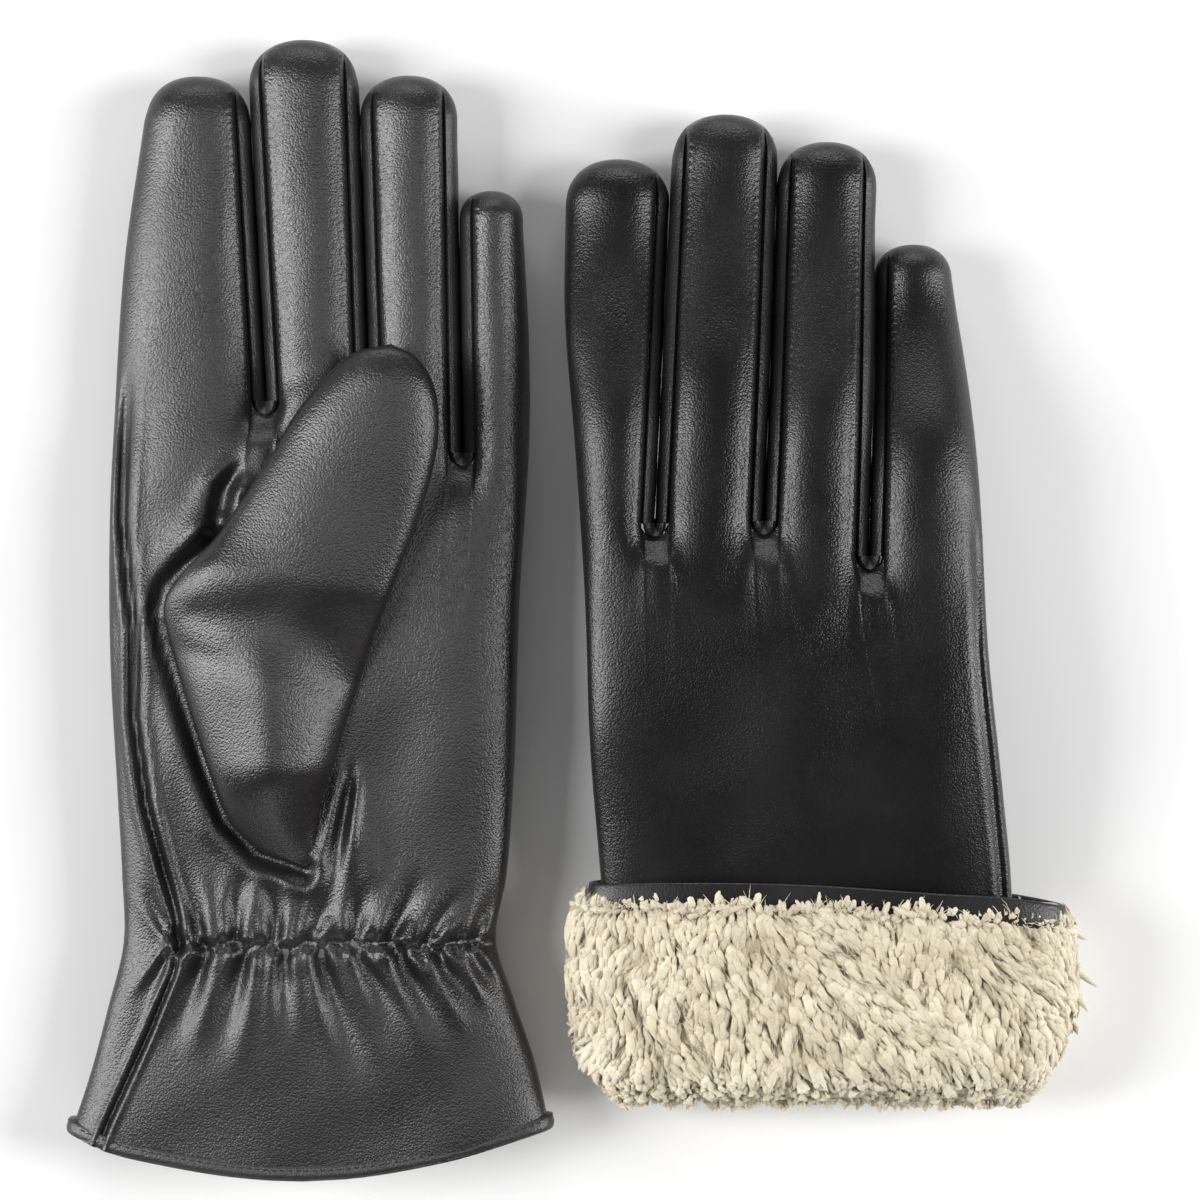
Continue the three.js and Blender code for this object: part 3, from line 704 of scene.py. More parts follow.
# %% [markdown]
# ## Sewing in the strips
# Each finger has a fourchette on each side that faces another finger. Between two of them a short
# strip turns round the crotch and dips where it meets the panels.

# %% Fourchettes and crotch strips
crotch_ends = {}
for glove in (LEFT, RIGHT):
    name = glove["name"]
    for k in range(4):
        for hand, side_name in ((1, "little"), (-1, "index")):
            if (k == 3 and hand > 0) or (k == 0 and hand < 0):
                continue
            points = fourchette(glove, k, hand)
            crotch_ends[name, k, hand] = points[0] if hand > 0 else points[0, ::-1]
            piece = skin(f"{name}_{FINGERS[k]}_fourchette_{side_name}", place(glove, points),
                         thickness=SIDE_LEATHER)
            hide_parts(f"{name}_{FINGERS[k]}_gusset_{side_name}_side")
            bend_finger(piece)
            fourchette_pieces.append(piece)
    for valley in range(3):
        before, after = crotch_ends[name, valley, 1], crotch_ends[name, valley + 1, -1]
        level = np.abs(np.sin(np.linspace(-1, 1, LEVELS) * math.pi / 2))
        turn = np.linspace(0, math.pi, 13)[:, None]
        middle, reach = (before + after) / 2, (after - before) / 2
        points = middle - np.cos(turn)[..., None] * reach
        points[..., 1] += np.sin(turn) * (0.4 - (CROTCH_DIP * 1.3 + 0.8) * level ** 1.6)
        piece = skin(f"{name}_crotch_{valley + 1}", place(glove, points), thickness=SIDE_LEATHER)
        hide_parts(f"{name}_crotch_gusset_{valley + 1}")
        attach(piece, f"{name}_hand")
        fourchette_pieces.append(piece)
print("fourchettes and crotches:", len(fourchette_pieces))

# %% [markdown]
# ## The thumb
# The thumb is its own piece, set into the palm along a curved seam. Its outer skin starts on that
# seam and rises to a full round thumb; its inner skin faces the palm, from the crotch to the tip.

# %% Cut of the thumbs
LEFT["thumb"] = {
    "up": 1, "floor": HAND_THICK + 0.3,
    "left": [(-1, -59.3), (-12, -55.3), (-19, -48), (-23, -38), (-27.2, -25), (-31.4, -11),
             (-33.4, 0.5), (-29, 8), (-21.5, 16), (-14.5, 26), (-8, 36), (-3, 44.5), (3, 52),
             (10, 58.3), (19, 60.5)],
    "right": [(0.5, -58), (1.3, -52), (3, -43), (5.4, -36), (8, -27.5), (11, -18), (14, -9),
              (17.5, 0), (21, 9), (25, 20), (28.5, 32), (29.8, 41), (29, 50), (25.3, 57),
              (19, 60.5)],
}
RIGHT["thumb"] = {
    "up": -1, "floor": THUMB_THICK,
    "left": [(-3, -43), (-12, -40), (-19, -33), (-25, -22), (-29, -10), (-31, -1), (-31, 3), (-28, 8),
             (-24, 13), (-19, 19), (-13.5, 24), (-9, 29), (-4, 33), (3, 36), (10.8, 37)],
    "right": [(-2.5, -42.5), (-1.5, -39), (-0.3, -35), (1.5, -31.5), (4, -26), (6.5, -20), (9, -13),
              (12, -5), (14.5, 1), (17, 8), (19, 14), (20.3, 20), (20.5, 26), (17.5, 32), (10.8, 37)],
}

print("points along a thumb:", len(LEFT["thumb"]["left"]))

# %% [markdown]
# ## The shape of a thumb
# Near the hand the outer skin stands on the palm and rises as a ball with two even flanks. Past
# the crotch of the thumb it comes free and turns into a round tube.

# %% Shape of a thumb
THUMB_ROWS, THUMB_ACROSS = 150, 56
CROTCH_ROW = 5.0
CREST_ROUND = 0.2
FLANK_SLOPE = 0.36


def palm_height(glove, x, y):
    """Height of the palm's surface under a point, on the thumb's side of the hand."""
    left, right = smooth_line(glove["index_edge"], y), smooth_line(glove["little_edge"], y)
    share = np.clip(2 * (x - left) / (right - left) - 1, -1, 1)
    up = glove["thumb"]["up"]
    return HAND_THICK / 2 + lift(glove, y) + up * HAND_THICK / 2 * arch(share, HAND_POWER)


def thumb_skin(glove, outer):
    """Points of the thumb's outer or inner skin, row by row from its base to its tip."""
    cut = glove["thumb"]
    last = len(cut["left"]) - 1
    t = np.linspace(0 if outer else CROTCH_ROW, last, THUMB_ROWS)
    t = last - (last - t[0]) * (np.abs(last - t) / (last - t[0])) ** 1.15
    lines = [[(x, i) for i, (x, y) in enumerate(cut[s])] for s in ("left", "right")]
    heights = [[(y, i) for i, (x, y) in enumerate(cut[s])] for s in ("left", "right")]
    lx, rx = (smooth_line(line, t)[:, None] for line in lines)
    ly, ry = (smooth_line(line, t)[:, None] for line in heights)
    place = crowd(np.linspace(0, 1, THUMB_ACROSS))[None, :]
    x, y = lx + (rx - lx) * place, ly + (ry - ly) * place
    up, middle = cut["up"], cut["floor"] + cut["up"] * THUMB_THICK / 2
    along = t[:, None]
    round_off = np.clip((along - (last - 3.2)) / 3.2, 0, 1)
    close = np.maximum(0.02, 1 - round_off ** TIP_POWER) ** (1 / TIP_POWER)
    free = ease((along - CROTCH_ROW + 0.5) / 3)
    seam_z = (1 - place) * palm_height(glove, lx, ly) + place * palm_height(glove, rx, ry)
    edge_z = seam_z * (1 - free) + middle * free
    top = cut["floor"] + up * THUMB_THICK
    rise = up * (top - edge_z) * ease(along / 3.4 + 0.05) * (1 - free) + THUMB_THICK / 2 * close * free
    share = 2 * place - 1
    if outer:
        crest = np.hypot(share, CREST_ROUND) - CREST_ROUND
        flank = 1 - crest / (math.hypot(1, CREST_ROUND) - CREST_ROUND)
        roof = np.minimum(FLANK_SLOPE * np.hypot(rx - lx, ry - ly) / 2, 0.6 * rise)
        ridge = (rise - roof) * arch(share, 3.6) + roof * flank
        slanted = ease(along / 1.5) * (1 - free) * (glove is LEFT)
        z = edge_z + up * (rise * arch(share, 2.3) * (1 - slanted) + ridge * slanted)
    else:
        low = (cut["floor"] + up * 0.1) * (1 - free) + (middle - up * THUMB_THICK / 2 * close) * free
        z = edge_z + (low - edge_z) * arch(share, 2.3)
    return np.stack([x + 0 * z, y + 0 * z, z], -1), along, share


# %% [markdown]
# ## The base of the thumb
# The thumb has no hinge: the leather near its base line bends.

# %% Folds of the thumb
def left_thumb_folds(p):
    """The ball's two swells, a faint fold across it, and a slack thumb above."""
    total = bump(p, (-20, -8), (9, 13), 0.5, 12) + bump(p, (-14, 4), (9, 5), 0.4, 35)
    total += crease(p, [(-31, 0), (-22, -2.5), (-12, 1)], 3.0, 0.35, 0.2, 0.5, 0.3)
    total += bump(p, (8, -6), (7, 20), -0.6, -22)
    total += bump(p, (16, 53), (6, 5), 0.5, 0) + bump(p, (8, 14), (9, 12), -0.5, -20)
    return total + ripple(p, 51, 28, 0.3)


def ride_thumb(piece):
    """Bakes the placement of a thumb piece into its mesh."""
    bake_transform(piece)


# %% Thumb skins
for glove in (LEFT, RIGHT):
    name, cut = glove["name"], glove["thumb"]
    for outer in (True, False):
        points, along, share = thumb_skin(glove, outer)
        keep = ease((1 - np.abs(share)) * 4) * ease((len(cut["left"]) - 1.3 - along) / 2)
        keep = keep * ease(along / 1.5)
        folds = left_thumb_folds(points) if glove is LEFT else ripple(points, 55, 24, 0.3)
        points[..., 2] += cut["up"] * (1 if outer else -0.4) * folds * keep
        points[..., 2] = np.maximum(points[..., 2], OFF_TABLE)
        upward = (cut["up"] > 0) == outer
        piece = skin(f"{name}_thumb_{'outer' if outer else 'inner'}",
                     place(glove, points if upward else points[:, ::-1]), thickness=THUMB_LEATHER)
        ride_thumb(piece)
        if outer:
            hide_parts(f"{name}_thumb_panel")
        leather_pieces.append(piece)
print("thumb skins made")

# %% [markdown]
# ## The fleece inside the hand
# Loose fleece lines the hand. It follows the leather a few millimetres inside it, in each finger
# as a slim tube, and its pile shows only through the mouth of the cuff.

# %% Linings
mouth = {}
for glove in (LEFT, RIGHT):
    name = glove["name"]
    for side in (1, -1):
        face = "palm" if side == glove["palm"] else "back"
        hand, fingers = comb(glove, side)
        hand = hand[7:-7:2, ::2]
        middle = HAND_THICK / 2 + lift(glove, hand[..., 1])
        from_hem = hand[..., 1] - hand[0, :, 1]
        gap = 1.3 + 3.4 * ease((from_hem + 1) / 13)
        hand[..., 2] -= side * np.minimum(gap, 0.75 * np.abs(hand[..., 2] - middle))
        hand[..., 0] *= 0.955 - 0.02 * ease(from_hem / 13)
        mouth[name, side] = hand[:16, 4:-4].reshape(-1, 3) - np.array([0, 0, side * 1.3])
        piece = skin(f"{name}_{face}_fleece", place(glove, hand if side > 0 else hand[:, ::-1]),
                     thickness=1.5)
        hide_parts(f"{name}_{face}_lining")
        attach(piece, f"{name}_hand")
        fleece_pieces.append(piece)
    for k in range(4):
        rows = np.linspace(glove["knuckles"][k] - 22, glove["tips"][k] - 4, 40)
        x0, a, b, z0, _ = section(glove, k, rows)
        turn = np.linspace(0, 2 * math.pi, 25)[None, :]
        wide, high = np.maximum(a - 3.6, 0.4)[:, None], np.maximum(b - 2.6, 0.4)[:, None]
        points = np.stack([x0[:, None] + wide * np.cos(turn), rows[:, None] + 0 * turn,
                           z0[:, None] - high * np.sin(turn)], -1)
        piece = loop_skin(f"{name}_{FINGERS[k]}_fleece", place(glove, points))
        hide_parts(f"{name}_{FINGERS[k]}_lining")
        bend_finger(piece)
        fleece_pieces.append(piece)
    points, along, share = thumb_skin(glove, False)
    points = points[6:-26:3, ::3]
    middle = points[:, :1] / 2 + points[:, -1:] / 2
    points = middle + (points - middle) * 0.72
    points[..., 2] = middle[..., 2] + (points[..., 2] - middle[..., 2]) * 0.5
    piece = skin(f"{name}_thumb_fleece", place(glove, points if glove is RIGHT else points[:, ::-1]),
                 thickness=-1.5)
    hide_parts(f"{name}_thumb_lining")
    ride_thumb(piece)
    fleece_pieces.append(piece)


print("linings:", len(fleece_pieces))

# %% [markdown]
# ## Bound hem and turned cuff facing
# The cuff's edge is bound with a folded strip of leather. On the right glove the cuff is turned
# back, so that its leather facing shows as a narrow band above the fleece. Both are rings with a
# rounded section, swept round the flattened mouth.

# %% A ring round a cuff
AROUND, SECTION = 220, 16


def ring_point(turn, middle, half, height):
    """x, z and outward direction on the flattened oval of a cuff."""
    c, s = np.cos(turn), np.sin(turn)
    power = 2 / HAND_POWER
    ux, uz = np.sign(c) * np.abs(c) ** power, np.sign(s) * np.abs(s) ** power
    nx = np.sign(c) * np.abs(c) ** (2 - power) / half
    nz = np.sign(s) * np.abs(s) ** (2 - power) / height
    size = np.hypot(nx, nz)
    return middle + half * ux, height * uz, nx / size, nz / size


def bound_ring(name, glove, line, low, high, height, centre_z, thick, out):
    """A leather ring whose edge follows line (x to y), from low to high above it."""
    turn = np.linspace(0, 2 * math.pi, AROUND + 1)[:, None] + 0.001
    first, last = line[0][0], line[-1][0]
    x, z, nx, nz = ring_point(turn, (first + last) / 2, (last - first) / 2, height)
    y = smooth_line([(b, a) for a, b in line], x)
    around = np.linspace(0, 2 * math.pi, SECTION + 1)[None, :]
    u = out - thick / 2 + thick / 2 * np.sign(np.cos(around)) * np.abs(np.cos(around)) ** 0.7
    v = (low + high) / 2 + (high - low) / 2 * np.sign(np.sin(around)) * np.abs(np.sin(around)) ** 0.7
    u = u - 0.3 * np.exp(-((v - high + 1.1) / 0.5) ** 2) * (np.cos(around) > 0)
    points = np.stack([x + nx * u, y + v, centre_z + z + nz * u], -1)
    return loop_skin(name, place(glove, points))


# %% [markdown]
# ## The two bindings
# The left cuff's binding is its lower edge. The right cuff's lies hidden in the fold, where the
# cuff is turned back.

# %% Hem bindings
hem = bound_ring("left_hem", LEFT, LEFT["hem"], -0.2, 3.4, HAND_THICK / 2, HAND_THICK / 2, 2.6, 0.5)
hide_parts("left_hem_binding")
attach(hem, "left_hand")
inner_hem = bound_ring("right_hem", RIGHT, RIGHT["hem"], 0, BINDING, HAND_THICK / 2,
                       HAND_THICK / 2 + TURNED, 2.2, 0.2)
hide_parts("right_hem_binding")
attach(inner_hem, "right_hand")

print("hem bindings:", hem.name, inner_hem.name)

# %% [markdown]
# ## The facing
# Above the fleece of the turned cuff a narrow band of leather shows. It slopes a little to the
# outer side.

# %% Facing of the turned cuff
FACING = [(-47.6, -63.4), (-30, -62.9), (0, -63.2), (30, -65.2), (50, -66.6), (61.8, -68.6)]
facing = bound_ring("right_cuff_facing", RIGHT, FACING, -6.2, 0.2, 12.9, 14, 1.7, 0.6)
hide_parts("right_turned_cuff_leather")
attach(facing, "right_hand")
leather_pieces += [hem, inner_hem, facing]
print("hem, facing:", [round(v, 4) for v in facing.dimensions])

# %% [markdown]
# ## The turned fleece cuff
# The right cuff is folded back over itself, fleece outwards. Its body is a padded ring that rolls
# over at the fold, in an upper and a lower half, so that the hand can pass between them.

# %% Surface of the turned cuff
CUFF = [(-67, -50.6, 62.6), (-72, -51.8, 63.6), (-85, -52.5, 64.6), (-100, -50, 61.5),
        (-109, -46, 56.5), (-114, -41, 51)]
CUFF_Y, CUFF_L, CUFF_R = (list(values)[::-1] for values in zip(*CUFF))
CUFF_HALF = HAND_THICK / 2 + TURNED


def cuff_surface(share, y, side, inset=0.0):
    """A point of the fleece's outer surface: share runs across it, y along it."""
    low, high = np.interp(y, CUFF_Y, CUFF_L) + 1.2, np.interp(y, CUFF_Y, CUFF_R) - 1.2
    over = np.clip((-104 - y) / 9.5, 0, 1)
    close = np.sqrt(np.maximum(0.06, 1 - over**2))
    half = (high - low) / 2 - inset
    x = (low + high) / 2 + half * share
    z = CUFF_HALF + side * (CUFF_HALF - 1 - inset) * close * arch(share, 3.0)
    return np.stack([x, y + 0 * x, z + 0 * x], -1)


print("turned cuff, half its height in mm:", CUFF_HALF)

# %% Body of the fleece
def cuff_body(side):
    """Points of the fleece's body: from its upper edge to the fold, and rolled in under it."""
    rows = [(y, 0.0) for y in np.linspace(-69.5, -113.3, 44)]
    rows = [(-68.6, 3.4), (-68.2, 1.4)] + rows
    rows += [(-113.6, 3.0), (-112, 6.0), (-106, 7.0), (-96, 7.4)]
    share = np.sin(np.linspace(-1, 1, 70) * math.pi / 2)
    points = np.stack([cuff_surface(share, np.full(70, y), side, inset) for y, inset in rows])
    lumps = ripple(points, 61, 11, 0.5) + ripple(points, 62, 4.5, 0.35)
    points[..., 2] += side * lumps * ease((1 - np.abs(share)) * 5)
    points[..., 2] = np.maximum(points[..., 2], 0.2)
    return place(RIGHT, points if side < 0 else points[:, ::-1])


for side in (1, -1):
    face = "back" if side > 0 else "palm"
    piece = skin(f"right_cuff_fleece_{face}", cuff_body(side), thickness=1.6)
    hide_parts("right_turned_cuff_fleece")
    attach(piece, "right_hand")
    fleece_pieces.append(piece)


print("halves of the turned fleece:", 2)

# %% [markdown]
# ## Locks of pile
# The pile lies in curled locks. One lock is modelled from a small sphere, and copied 4700 times
# for each half of the cuff, with its own bend, size and direction. Thin stray hairs, 3200 for each
# half, break up the outline.

# %% One lock and its copies
def template(segments, rings):
    """Vertices and faces of one small sphere, to be drawn out into a lock or a stitch."""
    bpy.ops.object.select_all(action="DESELECT")
    bpy.ops.mesh.primitive_uv_sphere_add(segments=segments, ring_count=rings, radius=1)
    piece = bpy.context.object
    verts = np.array([v.co for v in piece.data.vertices])
    faces = [list(f.vertices) for f in piece.data.polygons]
    bpy.data.objects.remove(piece, do_unlink=True)
    return verts, faces


def copies(name, verts, faces):
    """One mesh of many copies: verts is copies x points x 3 in mm, faces the template's."""
    count, size = verts.shape[:2]
    mesh = bpy.data.meshes.new(name)
    every = [[v + size * i for v in f] for i in range(count) for f in faces]
    mesh.from_pydata((verts.reshape(-1, 3) * MM).tolist(), [], every)
    shade = mesh.attributes.new("lock", "FLOAT", "POINT")
    shade.data.foreach_set("value", np.repeat(np.random.default_rng(len(every)).random(count), size))
    mesh.shade_smooth()
    piece = bpy.data.objects.new(name, mesh)
    bpy.context.collection.objects.link(piece)
    return piece


# %% Bending a lock
def locks(form, root, heading, normal, length, width, rise, curl):
    """Bends the template into locks: along each heading, lifted off the surface and curled."""
    heading = heading - normal * (heading * normal).sum(-1, keepdims=True)
    heading /= np.linalg.norm(heading, axis=-1, keepdims=True)
    across = np.cross(normal, heading)
    t = (1 - form[:, 2]) / 2
    thick = np.interp(t, [0, 0.3, 0.7, 1], [1, 1.25, 1.0, 0.5])
    forward = length[:, None] * t
    lifted = rise[:, None] * np.sin(math.pi * t**0.8) + width[:, None] * 0.62 * form[:, 1] * thick
    sideways = width[:, None] * form[:, 0] * thick + curl[:, None] * t**2
    return (root[:, None] + heading[:, None] * forward[..., None] + normal[:, None] * lifted[..., None]
            + across[:, None] * sideways[..., None])


# %% [markdown]
# ## The way the pile lies
# Brushed fleece sways from side to side as it falls, and its locks gather into clumps. A few
# stand up at the edge next to the facing.

# %% Where the locks stand
def cuff_spots(rng, count, side):
    """Random roots on the cuff, their normals, the way the pile lies, and nearness to a clump."""
    share = rng.uniform(-1, 1, count)
    at_side = rng.random(count) < 0.22
    share = np.where(at_side, np.sign(share) * (1 - 0.14 * rng.random(count) ** 2), share)
    top = np.interp(share, [-1, 0, 0.35, 1], [-68.0, -69.0, -70.2, -72.0])
    top = top + 0.7 * np.sin(share * 17 + 1)
    y = top - rng.random(count) * (113.5 + top)
    y = np.where(rng.random(count) < 0.13, top - 1.8 * rng.random(count), y)
    spot = cuff_surface(share, y, side)
    normal = np.cross(cuff_surface(share + 0.01, y, side) - spot,
                      cuff_surface(share, y + 0.2, side) - spot)
    normal *= side / np.linalg.norm(normal, axis=-1, keepdims=True)
    x = spot[:, 0]
    sway = 0.6 * np.sin(x / 8.0 + 1.3 * np.sin(y / 7.0)) + 0.45 * np.sin(y / 4.1 + x / 5.3)
    lean = np.interp(share, [-1, -0.75, -0.4, 1], [-0.5, -0.2, 0.4, 0.55])
    angle = lean + 0.5 * sway + rng.normal(0, 0.15, count)
    upward = (top - y < 2.2) & (rng.random(count) < 0.42)
    angle = np.where(upward, math.pi + rng.normal(0, 0.7, count), angle)
    flow = np.stack([np.sin(angle), -np.cos(angle), 0 * angle], -1)
    centre = spot[rng.permutation(count)[: count // 9]]
    gap = spot[:, None] - centre[None]
    nearest = (gap**2).sum(-1).argmin(1)
    pull = centre[nearest] + flow * 4.5 - spot
    away = np.linalg.norm(pull - flow * 4.5, axis=-1)
    pull /= np.linalg.norm(pull, axis=-1, keepdims=True) + 1e-6
    heading = np.where(upward[:, None], flow, 0.45 * flow + 0.55 * pull)
    return spot, normal, heading, np.exp(-((away / 2.6) ** 2))


# %% Locks and hairs of the turned cuff
LOCKS, HAIRS, MOUTH_LOCKS = 4700, 3200, 1000
lock_form, lock_faces = template(5, 5)
hair_form, hair_faces = template(3, 5)
for side in (1, -1):
    rng = np.random.default_rng(70 + side)
    face = "back" if side > 0 else "palm"
    count = LOCKS
    spot, normal, heading, clump = cuff_spots(rng, count, side)
    upward = heading[:, 1] > 0.2
    length = rng.uniform(4.2, 9.2, count) * (0.3 + 0.7 * ease((spot[:, 1] + 112) / 12))
    width = rng.uniform(0.42, 0.95, count) * (1 - 0.15 * upward)
    rise = rng.uniform(0.2, 0.9, count) + 2.0 * clump * ~upward + 1.1 * upward
    length = length * (1 - 0.45 * upward)
    verts = locks(lock_form, spot - normal * 0.5, heading, normal, length, width, rise,
                  rng.normal(0, 0.8, count))
    verts[..., 2] = np.clip(verts[..., 2], 0.15, None)
    pile = copies(f"right_cuff_locks_{face}", place(RIGHT, verts), lock_faces)
    count = HAIRS
    spot, normal, heading, _ = cuff_spots(rng, count, side)
    reach = rng.uniform(2.5, 5.5, count) * (0.4 + 0.6 * ease((spot[:, 1] + 112) / 12))
    verts = locks(hair_form, spot, heading, normal, reach, rng.uniform(0.06, 0.11, count),
                  rng.uniform(0.8, 2.6, count), rng.normal(0, 1.6, count))
    verts[..., 2] = np.clip(verts[..., 2], 0.15, None)
    hairs = copies(f"right_cuff_hairs_{face}", place(RIGHT, verts), hair_faces)
    for piece in (pile, hairs):
        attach(piece, "right_hand")
        fleece_pieces.append(piece)
print("locks of pile:", 2 * LOCKS, "with", 2 * HAIRS, "stray hairs")

# %% [markdown]
# ## Pile in the mouths
# Seen from the open end, the lining shows short pile all round the mouth of each cuff.

# %% Pile inside the two mouths
for glove in (LEFT, RIGHT):
    every = []
    for side in (1, -1):
        rng = np.random.default_rng(80 + side)
        count = MOUTH_LOCKS
        if glove is LEFT:
            spot = mouth["left", side][rng.integers(0, len(mouth["left", side]), count)]
            spot = spot + rng.uniform(-0.9, 0.9, (count, 3)) * [1, 1, 0]
        else:
            share, y = rng.uniform(-0.95, 0.95, count), rng.uniform(-112.5, -99, count)
            spot = cuff_surface(share, y, side, 7.6)
        normal = np.array([0, 0, -side]) + 0 * spot
        angle = rng.normal(0, 0.5, count)
        heading = np.stack([np.sin(angle), -np.cos(angle), 0 * angle], -1)
        length, width = rng.uniform(2.0, 4.2, count), rng.uniform(0.6, 1.1, count)
        rise, curl = rng.uniform(0.2, 0.9, count), rng.normal(0, 0.6, count)
        every.append(locks(lock_form, spot, heading, normal, length, width, rise, curl))
    piece = copies(f"{glove['name']}_mouth_locks", place(glove, np.concatenate(every)), lock_faces)
    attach(piece, f"{glove['name']}_hand")
    fleece_pieces.append(piece)
print("locks in the two mouths:", 4 * MOUTH_LOCKS)

# %% [markdown]
# ## Stitches
# The panels of each finger are closed with a fine running stitch just inside the seam, and the
# cuff's hem with one more row. A stitch is one small lozenge of thread, half sunk in the leather,
# and is copied along its seam at the same pitch as the puckers.

# %% One row of stitches
stitch_form, stitch_faces = template(4, 4)


def stitch_row(path):
    """Vertices of the stitches along a path of points, one pitch apart."""
    run = np.concatenate([[0], np.cumsum(np.linalg.norm(np.diff(path, axis=0), axis=1))])
    at = np.arange(STITCH / 2, run[-1], STITCH)
    middle, ahead, behind = (np.stack([np.interp(at + step, run, path[:, i]) for i in range(3)], -1)
                             for step in (0, 0.4, -0.4))
    along = (ahead - behind) / np.linalg.norm(ahead - behind, axis=-1, keepdims=True)
    across = np.cross(along, [0, 0, 1.0])
    across /= np.linalg.norm(across, axis=-1, keepdims=True)
    up = np.cross(across, along)
    x, y, z = (stitch_form[:, i, None] for i in range(3))
    return (middle[:, None] + along[:, None] * z * 0.68
            + across[:, None] * x * 0.17 + up[:, None] * y * 0.2)


print("points of one stitch:", len(stitch_form))

# %% Rows of stitches
for glove in (LEFT, RIGHT):
    for k in range(4):
        fingers = grids[glove["name"], 1][1]
        columns = finger_columns(k)
        rows = []
        for edge, inward, sewn in ((columns[0], 1, k > 0), (columns[-1], -1, k < 3)):
            if not sewn:
                continue
            line = fingers[:, edge::inward][:, :8]
            away = np.abs(line[..., 0] - line[:, :1, 0])
            path = np.array([[np.interp(0.85, a, row[:, i]) for i in range(3)]
                             for a, row in zip(away, line)])
            rows.append(stitch_row(path[path[:, 1] < glove["tips"][k] - 4]))
        piece = copies(f"{glove['name']}_{FINGERS[k]}_stitches",
                       place(glove, np.concatenate(rows)), stitch_faces)
        bend_finger(piece)
        thread_pieces.append(piece)
x = np.linspace(-53.5, 53, 240)
on_hem = smooth_line([(b, a) for a, b in LEFT["hem"]], x) + 2.35
height = 10.44 + 10 * arch((x + 0.4) / 56, HAND_POWER)
on_hem = stitch_row(np.stack([x, on_hem, height], -1))
piece = copies("left_hem_stitches", place(LEFT, on_hem), stitch_faces)
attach(piece, "left_hand")
thread_pieces.append(piece)
print("rows of stitches:", len(thread_pieces))

# %% [markdown]
# ## Leather
# Fine nappa leather is almost black, and what shows is its sheen: a pebbled grain under half a
# millimetre deep in tone, that breaks the highlight up. The grain is a node group, so that each
# leather takes it at its own strength.

# %% Node helpers
def feed(tree, made, inputs):
    """Gives a node's inputs a value each, or a link where a socket is given."""
    for key, value in inputs.items():
        if isinstance(value, bpy.types.NodeSocket):
            tree.links.new(value, made.inputs[key])
        else:
            made.inputs[key].default_value = value


def node(tree, kind, at, inputs=None, **settings):
    """Adds a node with its settings and its inputs."""
    made = tree.nodes.new(kind)
    made.location = at
    for key, value in settings.items():
        setattr(made, key, value)
    feed(tree, made, inputs or {})
    return made


def new_material(name):
    """A material, its node tree and its main shader."""
    made = bpy.data.materials.new(name)
    made.use_nodes = True
    return made, made.node_tree, made.node_tree.nodes["Principled BSDF"]


def ramp(tree, at, low, high, source, start=0.35, stop=0.65):
    """A colour ramp between two colours or two grey values."""
    made = node(tree, "ShaderNodeValToRGB", at, {"Fac": source})
    for end, position, colour in zip(made.color_ramp.elements, (start, stop), (low, high)):
        end.position = position
        end.color = (*colour, 1) if hasattr(colour, "__len__") else (colour, colour, colour, 1)
    return made.outputs["Color"]


# %% Leather grain
def leather_grain_group():
    """Pebbled grain from the piece's own coordinates: a height, and a tone that varies slowly."""
    tree = bpy.data.node_groups.new("leather grain", "ShaderNodeTree")
    add = tree.interface.new_socket
    for label, value in (("Pebbles", 1500.0), ("Pebble height", 1.0), ("Cloud", 40.0)):
        add(label, in_out="INPUT", socket_type="NodeSocketFloat").default_value = value
    for label in ("Height", "Tone"):
        add(label, in_out="OUTPUT", socket_type="NodeSocketFloat")
    given = node(tree, "NodeGroupInput", (-900, 0)).outputs
    where = node(tree, "ShaderNodeTexCoord", (-900, 300)).outputs["Object"]
    bend = node(tree, "ShaderNodeTexNoise", (-700, 200), {"Vector": where, "Scale": 500})
    shift = node(tree, "ShaderNodeVectorMath", (-500, 300),
                 {0: bend.outputs["Color"], 1: (0.0004, 0.0004, 0.0004), 2: where},
                 operation="MULTIPLY_ADD")
    cells = node(tree, "ShaderNodeTexVoronoi", (-250, 200),
                 {"Vector": shift.outputs[0], "Scale": given["Pebbles"]}, feature="F1")
    fine = node(tree, "ShaderNodeTexNoise", (-250, -100),
                {"Vector": where, "Scale": 2600, "Detail": 3})
    both = node(tree, "ShaderNodeMath", (0, 100),
                {0: fine.outputs["Fac"], 1: 0.5, 2: cells.outputs["Distance"]},
                operation="MULTIPLY_ADD")
    high = node(tree, "ShaderNodeMath", (200, 100),
                {0: both.outputs[0], 1: given["Pebble height"]}, operation="MULTIPLY")
    cloud = node(tree, "ShaderNodeTexNoise", (0, -200),
                 {"Vector": where, "Scale": given["Cloud"], "Detail": 4})
    node(tree, "NodeGroupOutput", (500, 0),
         {"Height": high.outputs[0], "Tone": cloud.outputs["Fac"]})
    return tree


GRAIN = leather_grain_group()
print("nodes in the grain:", len(GRAIN.nodes))


